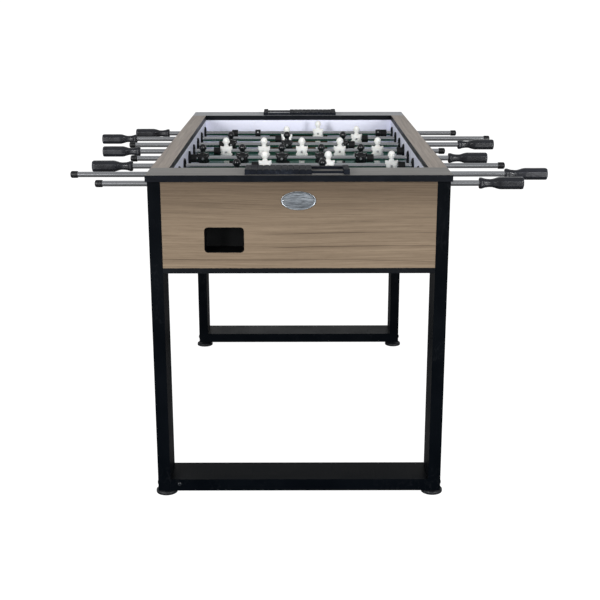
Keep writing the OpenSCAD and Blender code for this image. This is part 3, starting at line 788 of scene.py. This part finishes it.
bm = bmesh.new()
lay = wear_layer(bm)
vr = loft(bm, [tip_oval(*q) for q in ((85.6, 46.1, 0), (86, 46.5, 0.3), (86, 46.5, 1.5), (85.4, 45.9, 2.0),
                                      (84.2, 44.7, 2.2), (82.6, 43.1, 2.15), (81.4, 41.9, 1.8), (80.2, 40.7, 1.25),
                                      (78.4, 38.9, 1.1), (66, 32.2, 1.3), (47, 22.8, 1.5), (27, 12.8, 1.62),
                                      (8, 4, 1.68))])
for k in (3, 4, 5):
    for v in vr[k]:
        v[lay] = 1.0
own(make("badge_plate", bm, ("badge",), 50), "cabinet", "badge_metal", "badge")
bm = bmesh.new()
for s in (-1, 1):
    lathe(bm, [(0.9, 0), (0.9, 1.6), (2.0, 1.6), (2.4, 1.3), (2.68, 0.8), (2.78, 0)], 20,
          at(bc[0] + s * 38.2, -END_Y, bc[1], "y", -1))
own(make("badge_pins", bm, ("pin",), 40), "cabinet", "badge_metal", "badge")

# ------------------------------------------------------------------ scorers
SC_Y = ry1 - ERW / 2                          # 647
SC_X = 4.0


def scorer_tf(front):
    """scorer frame (mm: x along, y towards the players, z up) to the table"""
    if front:
        return Matrix.Translation((-SC_X * K, -SC_Y * K, rz1 * K)) @ Matrix.Diagonal((1, -1, 1, 1))
    return Matrix.Rotation(pi, 4, "Z") @ Matrix.Translation((-SC_X * K, -SC_Y * K, rz1 * K)) @ Matrix.Diagonal((1, -1, 1, 1))


def scorer_piece(name, bm, mats, front):
    bm.transform(scorer_tf(front))
    return make(name, bm, mats, 34)


BLOCK = [(-50, 0), (50, 0), (50, 10), (49.2, 11.2), (47, 12), (32, 12), (-30, 9), (-48, 9), (-49.4, 8.4), (-50, 7)]
for front in (True, False):
    tag = "front" if front else "rear"
    bm = bmesh.new()
    for s in (-1, 1):
        prism(bm, BLOCK, s * 120.5 - 7.0, s * 120.5 + 7.0, "x")
    bevel(bm, 0.9, 3, 40)
    for s in (-1, 1):                          # foot plates and their screw heads
        lathe(bm, [(0, 0), (0, 3.2), (0.5, 3.0), (0.9, 2.2), (1.0, 0)], 20, at(s * 120.5, 20, 11.05, "z"))
    own(scorer_piece(f"scorer_blocks_{tag}", bm, ("tile",), front), "cabinet", "black_plastic", "scorer_frames")
    bm = bmesh.new()
    lathe(bm, [(-114, 0), (-114, 2.7), (-113.7, 3.0), (113.7, 3.0), (114, 2.7), (114, 0)], 24, at(0, 42, 5, "x"))
    lathe(bm, [(-126.5, 0), (-126.5, 2.0), (-126.1, 2.6), (-124.5, 3.0), (-113.4, 3.0), (-113.4, 0)], 20, at(0, 42, 5, "x"))
    lathe(bm, [(113.4, 0), (113.4, 3.0), (124.5, 3.0), (126.1, 2.6), (126.5, 2.0), (126.5, 0)], 20, at(0, 42, 5, "x"))
    g0 = len(bm.verts)
    add_box(bm, (-113.6, -47, 1), (113.6, -33, 7))
    bm.verts.index_update()
    ge = [e for e in bm.edges if all(v.index >= g0 for v in e.verts)]
    bevel(bm, 0.8, 3, geom=ge)
    own(scorer_piece(f"scorer_bars_{tag}", bm, ("tile",), front), "cabinet", "black_plastic", "scorer_frames")


def tile_mesh():
    """One scoring tile about its own middle: wedge body, scalloped thumb edge, grip ridges"""
    bm = bmesh.new()
    arch = [(42 - 3.1 * cos(pi * k / 10), 5 + 3.1 * sin(pi * k / 10)) for k in range(11)]
    body = [(-36, 7.3), (-32.7, 7.3), (-32.7, 0.6), (38.9, 0.6)] + arch + [
        (45.1, 0.6), (49, 0.6), (49, 8.4), (48.4, 9.4), (47, 10), (34, 10), (-26, 8.8), (-36, 8.8)]
    prism(bm, body, -7.2, 7.2, "x")
    bevel(bm, 0.6, 3, 35)
    # half round thumb edge towards the field
    prof = [(7.2 * cos(a), -42 + 0.0 - 7.2 * sin(a)) for a in [pi * k / 14 for k in range(15)]]
    outline = [(7.2, -35.6)] + prof + [(-7.2, -35.6)]
    loft(bm, [[(x, y, 7.3) for x, y in outline], [(x, y, 8.2) for x, y in outline],
              [(x * 0.95, y + 0.3, 8.6) for x, y in outline], [(x * 0.88, y + 0.7, 8.8) for x, y in outline]])
    lip = [(7.2 * cos(a), -42 - 7.2 * sin(a)) for a in [radians(47.5 + 85 * k / 8) for k in range(9)]]
    loft(bm, [[(x, y, 0.7) for x, y in lip], [(x, y, 7.4) for x, y in lip]])
    for k in range(3):                         # grip ridges near the high end
        y = 36.5 + k * 3.4
        ridge = [(y - 0.9, 9.8), (y + 0.9, 9.8), (y + 0.7, 10.5), (y + 0.3, 10.75), (y - 0.3, 10.75), (y - 0.7, 10.5)]
        prism(bm, ridge, -5.4, 5.4, "x")
    return bm


for front in (True, False):
    tag = "front" if front else "rear"
    for k in range(10):
        bm = tile_mesh()
        bm.transform(Matrix.Translation(((-106.05 + 14.9 * k) * K, 0, 0)))
        ob = scorer_piece(f"tile_{tag}_{k + 1}", bm, ("tile",), front)
        own(ob, f"beads_{tag}", "tile_black", f"score_beads_{tag}")

# ------------------------------------------------------------------ rods
NMEN = {1: 1, 2: 2, 3: 3, 4: 5, 5: 5, 6: 3, 7: 2, 8: 1}
WHITE = (3, 5, 7, 8)


def catmull(pts, per=5):
    out = []
    for k in range(len(pts) - 1):
        p0, p1 = pts[max(k - 1, 0)], pts[k]
        p2, p3 = pts[k + 1], pts[min(k + 2, len(pts) - 1)]
        for j in range(per):
            t = j / per
            # monotone in x, smooth in width
            x = p1[0] + (p2[0] - p1[0]) * t
            m1 = (p2[1] - p0[1]) / max(p2[0] - p0[0], 1e-6) * (p2[0] - p1[0])
            m2 = (p3[1] - p1[1]) / max(p3[0] - p1[0], 1e-6) * (p2[0] - p1[0])
            h = (2 * t ** 3 - 3 * t ** 2 + 1, t ** 3 - 2 * t ** 2 + t, -2 * t ** 3 + 3 * t ** 2, t ** 3 - t ** 2)
            out.append((x, h[0] * p1[1] + h[1] * m1 + h[2] * p2[1] + h[3] * m2))
    out.append(pts[-1])
    return out


def octagon(w, rho, n=4):
    """outline of an octagon w over its flats, corners rounded by rho"""
    out = []
    R = w / 2
    rho = min(rho, R * 0.9)
    for k in range(8):
        a0 = radians(22.5 + 45 * k)
        c = Vector((cos(a0), sin(a0))) * ((R - rho) / cos(radians(22.5)))
        for j in range(n + 1):
            a = a0 + radians(-22.5 + 45 * j / n)
            out.append((c.x + rho * cos(a), c.y + rho * sin(a)))
    return out


GRIP = [(0.9, 27.2), (2.4, 28.0), (6.0, 28.0), (8.2, 27.2), (10.5, 25.4), (14, 23.4), (20, 21.4), (26, 20.6),
        (31, 20.6), (36, 22.0), (42, 25.4), (48, 28.8), (54, 30.8), (60, 31.0), (84, 31.0), (109.5, 31.0)]


def handle_bm(M4):
    bm = bmesh.new()
    lay = wear_layer(bm)
    st = catmull(GRIP, 3)
    st = [(0.0, 15.6), (0.0, 24.8), (0.3, 26.2)] + st + [(111.6, 30.6), (113.3, 29.2), (114.4, 27.0), (114.9, 24.2),
                                                         (115.0, 18.0), (115.0, 8.0)]
    rings = []
    for x, w in st:
        rings.append([(x, p[0], p[1]) for p in octagon(w, 2.3 if w > 19 else w / 2)])
    vr = loft(bm, rings)
    for r in vr:
        for j, v in enumerate(r):
            if j % 5 in (1, 2, 3):
                v[lay] = 0.7
    for r in vr[-6:-3]:
        for v in r:
            v[lay] = 1.0
    bm.transform(M4)
    return bm


for i in range(1, 9):
    body = f"rod_set_{i}"
    (ax, ay, az), (bx, by, bz) = mm(f"rod_{i}")
    yc, zc = (ay + by) / 2, (az + bz) / 2
    bm = bmesh.new()
    lathe(bm, [(ax, 6.9), (ax + 0.6, 7.5), (bx - 0.6, 7.5), (bx, 6.9), (bx, 5.9), (ax, 5.9)], 48,
          Matrix.Translation((0, yc * K, zc * K)), closed=True)
    own(make(f"rod_tube_{i}", bm, ("chrome",), 40), body, "rod_chrome", f"rod_{i}")
    (hx0, _, _), (hx1, _, _) = mm(f"handle_{i}")
    s = 1 if hx0 > 0 else -1
    base = hx0 if s > 0 else hx1
    own(make(f"grip_{i}", handle_bm(at(base, yc, zc, "x", s)), ("handle",), 50), body, "handle_black", f"handle_{i}")
    (ex0, _, _), (ex1, _, _) = mm(f"end_cap_{i}")
    tip = ex0 if s > 0 else ex1
    bm = bmesh.new()
    lathe(bm, [(0, 0), (0.05, 2.4), (0.35, 4.6), (1.0, 6.6), (2.0, 8.1), (3.2, 9.0), (4.6, 9.45), (6, 9.5), (15.0, 9.5),
               (15.4, 9.25), (15.8, 9.5), (18.6, 9.5), (19.5, 9.2), (20, 8.6), (20, 7.52), (2, 7.52), (2, 0)], 40,
          at(tip, yc, zc, "x", s), wear={4, 5, 12})
    own(make(f"rod_cap_{i}", bm, ("cap",), 40), body, "cap_black", f"end_cap_{i}")


def ring_bm(bm, x, length, d, yc, zc, rib=True):
    r = d / 2
    pr = [(0, 7.57), (0, r - 1.3), (0.35, r - 0.5), (1.2, r)]
    if rib:
        for k in range(3):
            c = length * (0.3 + 0.2 * k)
            pr += [(c - 1.1, r), (c - 0.6, r - 0.35), (c + 0.6, r - 0.35), (c + 1.1, r)]
    pr += [(length - 1.2, r), (length - 0.35, r - 0.5), (length, r - 1.3), (length, 7.57)]
    lathe(bm, pr, 40, Matrix.Translation((x * K, yc * K, zc * K)), closed=True, wear={2, len(pr) - 3})


for i in range(1, 9):
    (ax, ay, az), (bx, by, bz) = mm(f"bumpers_{i}")
    yc, zc = (ay + by) / 2, (az + bz) / 2
    bm = bmesh.new()
    ring_bm(bm, ax, 20, 24, yc, zc)
    if bx - ax > 30:
        ring_bm(bm, bx - 20, 20, 24, yc, zc)
    own(make(f"rubber_bumpers_{i}", bm, ("rubber",), 40), f"bumper_set_{i}", "black_rubber", f"bumpers_{i}")
(ax, ay, az), (bx, by, bz) = mm("loose_bumper")
bm = bmesh.new()
ring_bm(bm, ax, 20, 24, (ay + by) / 2, (az + bz) / 2)
own(make("rubber_bumper_loose", bm, ("rubber",), 40), "cabinet", "black_rubber", "loose_bumper")

for i in (1, 8):
    (ax, ay, az), (bx, by, bz) = mm(f"stop_collars_{i}")
    yc, zc = (ay + by) / 2, (az + bz) / 2
    bm, sc = bmesh.new(), bmesh.new()
    for x in (ax, bx - 18):
        lathe(bm, [(0, 7.5), (0, 11.6), (0.9, 12.5), (8.2, 12.5), (8.6, 12.1), (9.4, 12.1), (9.8, 12.5), (17.1, 12.5),
                   (18, 11.6), (18, 7.5)], 40, Matrix.Translation((x * K, yc * K, zc * K)), closed=True, wear={2, 7})
        side = -1 if i == 8 else 1
        M4 = Matrix.Translation(((x + 9) * K, yc * K, zc * K)) @ Matrix.Rotation(side * radians(24), 4, "X") \
            @ Matrix.Rotation(-pi / 2 if side < 0 else pi / 2, 4, "Z")
        lathe(sc, [(9, 0), (9, 2.9), (12.3, 2.9), (12.7, 2.5), (12.9, 1.6), (12.3, 1.2), (12.2, 0)], 20, M4)
    own(make(f"collars_{i}", bm, ("collar",), 40), f"rod_set_{i}", "collar_black", f"stop_collars_{i}")
    own(make(f"collar_screws_{i}", sc, ("screw",), 40), f"rod_set_{i}", "bolt_metal")


# ------------------------------------------------------------------ men
def ellipsoid(bm, c, r, rot=None, u=20, v=14):
    M4 = Matrix.Translation(Vector(c) * K) @ (rot.to_4x4() if rot else Matrix.Identity(4)) @ Matrix.Diagonal((*[a * K for a in r], 1))
    bmesh.ops.create_uvsphere(bm, u_segments=u, v_segments=v, radius=1.0, matrix=M4)


def section(z, w, d, r=None, yo=0.0, xo=0.0, n=5):
    r = min(w, d) * 0.3 if r is None else r
    return [(x, y, z) for x, y in rrect(w, d, r, n, (xo, yo))]


def evaluated(ob, name):
    dg = bpy.context.evaluated_depsgraph_get()
    me = bpy.data.meshes.new_from_object(ob.evaluated_get(dg))
    me.name = name
    return me


def sm(a, b, t):
    t = min(max((t - a) / (b - a), 0.0), 1.0)
    return t * t * (3 - 2 * t)


def man_mesh(matname, tag):
    """A plain player: head on a short neck, squared shoulders, arms at the sides, legs together, wedge foot.
    The rod axis is X through the origin, and the player looks along -Y."""
    bm = bmesh.new()
    # chest block and shoulders
    loft(bm, [section(-14.2, 24, 16), section(-12.6, 30, 19), section(-10, 31.4, 21.4), section(-4, 31.6, 23.2),
              section(2, 32.0, 23.6), section(7, 32.6, 22.4, 5), section(10.6, 33.4, 19.8, 4), section(13.4, 33.4, 16.8, 3.2),
              section(14.7, 32.6, 13.8, 2.6)])
    # arms: shoulder, upper arm, forearm, hand
    for s in (-1, 1):
        loft(bm, [section(-13.0, 5.0, 6.9, 1.8, -1.0, s * 15.1), section(-12.0, 6.0, 9.0, 2.2, -1.0, s * 15.1),
                  section(-8, 6.4, 10.6, 2.6, -0.8, s * 15.1), section(-2, 6.4, 11.2, 2.6, -0.2, s * 15.1),
                  section(3, 6.4, 12.4, 2.8, 0.0, s * 15.1), section(8, 6.6, 13.4, 2.4, 0.0, s * 15.1),
                  section(12, 6.4, 12.8, 2.0, 0.0, s * 15.1), section(14.0, 4.8, 11.0, 1.6, 0.0, s * 15.7),
                  section(15.8, 2.6, 8.6, 1.1, 0.0, s * 16.6)])
    # trapezius into the neck, neck
    loft(bm, [section(9, 24, 15, 5), section(12, 22, 14, 5), section(14.0, 17.5, 13, 5.4), section(16.2, 13.8, 12.6, 6),
              section(20, 12.6, 12.4, 6), section(24, 13.4, 13.2, 6.2)])
    # head
    ellipsoid(bm, (0, 0.4, 31.4), (10.2, 10.9, 11.4), None, 28, 20)
    ellipsoid(bm, (0, -0.6, 26.2), (8.3, 9.2, 8.0), None, 24, 16)
    for s in (-1, 1):
        ellipsoid(bm, (s * 10.0, 0.8, 29.8), (1.3, 2.3, 3.2))
        ellipsoid(bm, (s * 3.6, -9.0, 33.6), (3.0, 1.7, 0.9))
    ellipsoid(bm, (0, -10.3, 29.6), (1.35, 1.7, 3.0))
    ellipsoid(bm, (0, -9.0, 25.6), (2.6, 1.2, 0.7))
    ellipsoid(bm, (0, -7.6, 22.2), (3.2, 2.0, 1.9))
    # hips, legs, foot
    loft(bm, [section(-11, 24, 19), section(-15.5, 23.0, 17.5), section(-20, 20.6, 15.0), section(-25, 18.8, 13.4),
              section(-31, 17.6, 12.4), section(-38, 16.6, 11.2), section(-43, 16.0, 10.8), section(-48, 16.2, 11.6),
              section(-53, 16.8, 12.4), section(-57, 17.4, 13.6), section(-60, 18.2, 16.4, 3.6)])
    loft(bm, [section(-56.5, 17.0, 13.6, 3), section(-60.5, 18.4, 18.6, 2.6), section(-63.4, 18.9, 22.0, 2.2),
              section(-66.2, 19.0, 23.0, 1.8), section(-68.6, 18.8, 22.8, 1.8), section(-69.5, 17.8, 21.6, 1.6)])
    bmesh.ops.recalc_face_normals(bm, faces=bm.faces)
    me = bpy.data.meshes.new("man_parts")
    bm.to_mesh(me)
    bm.free()
    ob = bpy.data.objects.new("man_parts", me)
    COL.objects.link(ob)
    r = ob.modifiers.new("shell", "REMESH")
    r.mode = "VOXEL"
    r.voxel_size = 0.0006
    r.adaptivity = 0.0
    s = ob.modifiers.new("ease", "SMOOTH")
    s.factor, s.iterations = 0.5, 3
    m2 = evaluated(ob, "man_shell")
    bpy.data.objects.remove(ob)
    # carve: arm grooves, leg parting, shirt hem, socks, toe cap, eye hollows
    places = [v.co.copy() for v in m2.vertices]
    normals = [Vector(n.vector) for n in m2.vertex_normals]
    moved = []
    for p, n in zip(places, normals):
        x, y, z = p * 1000
        push = 0.0
        if -12.5 < z < 9.5 and abs(y) > 3.5:
            push += 1.15 * (1 - sm(0.3, 1.5, abs(abs(x) - 12.4))) * sm(-12.5, -11, z) * (1 - sm(7.5, 9.5, z))
        if z < -17.0:
            push += 1.1 * (1 - sm(0.2, 1.5, abs(x))) * sm(-17, -20, z) * (1 if z > -58 else 0.7)
        if abs(x) < 13:
            push += 0.55 * (1 - sm(0.15, 0.9, abs(z + 13.6)))
            push += 0.5 * (1 - sm(0.15, 0.8, abs(z + 26.0)))
        push += 0.5 * (1 - sm(0.15, 0.8, abs(z + 46.0)))
        push += 0.45 * (1 - sm(0.15, 0.8, abs(z + 64.6)))
        if 15 < z < 19:
            push -= 0.55 * (1 - sm(0.4, 1.6, abs(z - 16.6)))
        if y < -5 and abs(z - 31.4) < 3:
            push += 0.9 * (1 - sm(0.5, 2.4, sqrt((abs(x) - 3.9) ** 2 + (z - 31.5) ** 2 * 1.6)))
        q = p - n * push * K
        moved += [q.x, q.y, q.z]
    m2.vertices.foreach_set("co", moved)
    o2 = bpy.data.objects.new("man_shell", m2)
    COL.objects.link(o2)
    s = o2.modifiers.new("ease", "SMOOTH")
    s.factor, s.iterations = 0.45, 1
    d = o2.modifiers.new("fewer", "DECIMATE")
    d.ratio = 0.22
    # rod bore and the two screw recesses
    cut = bmesh.new()
    lathe(cut, [(-30, 0), (-30, 7.5), (30, 7.5), (30, 0)], 40)
    cme = bpy.data.meshes.new("bore")
    bmesh.ops.recalc_face_normals(cut, faces=cut.faces)
    cut.to_mesh(cme)
    cut.free()
    cob = bpy.data.objects.new("bore", cme)
    COL.objects.link(cob)
    cut = bmesh.new()
    lathe(cut, [(9.0, 0), (9.0, 4.3), (20, 4.3), (20, 0)], 28, at(0, 0, -0.6, "y", -1))
    lathe(cut, [(9.0, 0), (9.0, 4.4), (20, 4.4), (20, 0)], 6, at(0, 0, -0.6, "y", 1))
    bmesh.ops.recalc_face_normals(cut, faces=cut.faces)
    c2 = bpy.data.meshes.new("recess")
    cut.to_mesh(c2)
    cut.free()
    cob2 = bpy.data.objects.new("recess", c2)
    COL.objects.link(cob2)
    for c in (cob, cob2):
        b = o2.modifiers.new("cut", "BOOLEAN")
        b.operation, b.object, b.solver = "DIFFERENCE", c, "EXACT"
    m3 = evaluated(o2, f"man_{tag}")
    for o in (o2, cob, cob2):
        bpy.data.objects.remove(o)
    m3.materials.clear()
    m3.materials.append(M[matname])
    for p in m3.polygons:
        p.use_smooth = True
        p.material_index = 0
    m3.set_sharp_from_angle(angle=radians(52))
    return m3


def screw_mesh():
    bm = bmesh.new()
    lay = wear_layer(bm)
    M4 = at(0, 0, -0.6, "y", -1)
    # pan head with a driver cross, then the nut on the other side
    lathe(bm, [(9.05, 0), (9.05, 3.5), (10.2, 3.55), (10.9, 3.2), (11.4, 2.5), (11.7, 1.5), (11.8, 0)], 24, M4, wear={3, 4})
    for a in (0, pi / 2):
        c = bmesh.new()
        add_box(c, (-0.45, -11.95, -2.0), (0.45, -11.55, 2.0))
        c.transform(Matrix.Translation((0, 0, -0.6 * K)) @ Matrix.Rotation(a + 0.5, 4, "Y"))
        tmp = bpy.data.meshes.new("t")
        c.to_mesh(tmp)
        c.free()
        nf = len(bm.faces)
        bm.from_mesh(tmp)
        bm.faces.ensure_lookup_table()
        for f in bm.faces[nf:]:
            f.material_index = 1
        bpy.data.meshes.remove(tmp)
    M4 = at(0, 0, -0.6, "y", 1)
    lathe(bm, [(9.05, 1.6), (9.05, 3.6), (9.4, 4.0), (11.6, 4.0), (12.0, 3.5), (12.0, 1.6)], 6, M4, closed=True)
    lathe(bm, [(9.05, 0), (9.05, 1.62), (12.6, 1.62), (13.0, 1.2), (13.0, 0)], 16, M4)
    ob = make("man_screw_proto", bm, ("screw", "bolt"), 35, weighted=False)
    me = ob.data
    bpy.data.objects.remove(ob)
    return me


MAN = {True: man_mesh("man_white", "white"), False: man_mesh("man_black", "black")}
SCREW = screw_mesh()
for i in range(1, 9):
    (ax, ay, az), (bx, by, bz) = mm(f"men_{i}")
    rz = sum(v[2] for v in mm(f"rod_{i}")) / 2
    pale = i in WHITE
    n = NMEN[i]
    for k in range(n):
        x = (ax + 18) + (bx - ax - 36) * (k / (n - 1) if n > 1 else 0.5)
        M4 = Matrix.Translation((x * K, ROD_Y[i] * K, rz * K))
        if not pale:
            M4 = M4 @ Matrix.Rotation(pi, 4, "Z")
        ob = bpy.data.objects.new(f"man_{i}_{k + 1}", MAN[pale])
        COL.objects.link(ob)
        ob.matrix_world = M4
        own(ob, f"rod_set_{i}", "men_white" if pale else "men_black", f"men_{i}")
        sc = bpy.data.objects.new(f"man_screw_{i}_{k + 1}", SCREW)
        COL.objects.link(sc)
        sc.matrix_world = M4
        own(sc, f"rod_set_{i}", "bolt_metal")

# ------------------------------------------------------------------ floor, world and lights
bm = bmesh.new()
bmesh.ops.create_grid(bm, x_segments=2, y_segments=2, size=1.0, matrix=Matrix.Diagonal((260, 260, 1, 1)))
g = G("floor", rough=0.9, spec=0.0)
fl = g.noise(g.map(), 1.5, 2.0)
g.set(Base_Color=g.mix(fl, (0.20, 0.20, 0.20, 1), (0.22, 0.22, 0.22, 1)))
em = g.nt.nodes.new("ShaderNodeEmission")
em.inputs["Strength"].default_value = 1.0
lp = g.nt.nodes.new("ShaderNodeLightPath")
ms = g.nt.nodes.new("ShaderNodeMixShader")
ad = g.nt.nodes.new("ShaderNodeAddShader")
dim = g.nt.nodes.new("ShaderNodeEmission")
dim.inputs["Strength"].default_value = 1.0
g.nt.links.new(g.b.outputs[0], ad.inputs[0])
g.nt.links.new(dim.outputs[0], ad.inputs[1])
g.nt.links.new(lp.outputs["Is Camera Ray"], ms.inputs[0])
g.nt.links.new(g.b.outputs[0], ms.inputs[1])
g.nt.links.new(ad.outputs[0], ms.inputs[2])
g.nt.links.new(ms.outputs[0], g.out.inputs[0])
g.nt.nodes.remove(em)
me = bpy.data.meshes.new("floor")
bm.to_mesh(me)
bm.free()
me.materials.append(g.m)
floor = bpy.data.objects.new("floor", me)
COL.objects.link(floor)
floor.location.z = -0.0005

w = bpy.data.worlds.new("studio")
scene.world = w
w.use_nodes = True
nt = w.node_tree
nt.nodes.clear()
wo = nt.nodes.new("ShaderNodeOutputWorld")
bg = nt.nodes.new("ShaderNodeBackground")
tc = nt.nodes.new("ShaderNodeTexCoord")
sx = nt.nodes.new("ShaderNodeSeparateXYZ")
nt.links.new(tc.outputs["Generated"], sx.inputs[0])
front_back = nt.nodes.new("ShaderNodeMapRange")     # a little dimmer in front than behind
for k, v in zip((1, 2, 3, 4), (-0.5, 0.7, 0.86, 1.0)):
    front_back.inputs[k].default_value = v
nt.links.new(sx.outputs[1], front_back.inputs[0])
rise = nt.nodes.new("ShaderNodeValToRGB")           # bright horizon, darker overhead
el = rise.color_ramp.elements
while len(el) < 6:
    el.new(0.5)
for e, (pos, v) in zip(el, ((0.0, 0.92), (0.11, 0.86), (0.17, 0.62), (0.30, 0.60), (0.44, 0.24), (1.0, 0.48))):
    e.position, e.color = pos, (v, v, v, 1)
nt.links.new(sx.outputs[2], rise.inputs[0])
both = nt.nodes.new("ShaderNodeMath")
both.operation = "MULTIPLY"
nt.links.new(front_back.outputs[0], both.inputs[0])
nt.links.new(rise.outputs[0], both.inputs[1])
seen = nt.nodes.new("ShaderNodeLightPath")
white = nt.nodes.new("ShaderNodeMath")              # plain white where the backdrop itself is seen
white.operation = "MAXIMUM"
nt.links.new(both.outputs[0], white.inputs[0])
nt.links.new(seen.outputs["Is Camera Ray"], white.inputs[1])
nt.links.new(white.outputs[0], bg.inputs["Strength"])
bg.inputs["Color"].default_value = (0.98, 0.99, 1.0, 1)
nt.links.new(bg.outputs[0], wo.inputs[0])


def area(name, loc, target, size, power, colour=(1, 1, 1)):
    d = bpy.data.lights.new(name, "AREA")
    d.shape = "RECTANGLE"
    d.size, d.size_y = size
    d.energy = power
    d.color = colour
    o = bpy.data.objects.new(name, d)
    COL.objects.link(o)
    o.location = loc
    o.rotation_euler = (Vector(target) - Vector(loc)).to_track_quat("-Z", "Y").to_euler()
    return o


area("key", (-3.1, -5.4, 2.0), (0, -0.6, 0.6), (1.2, 2.2), 255)
area("fill", (3.1, -5.4, 1.7), (0, -0.6, 0.6), (1.2, 2.0), 235)
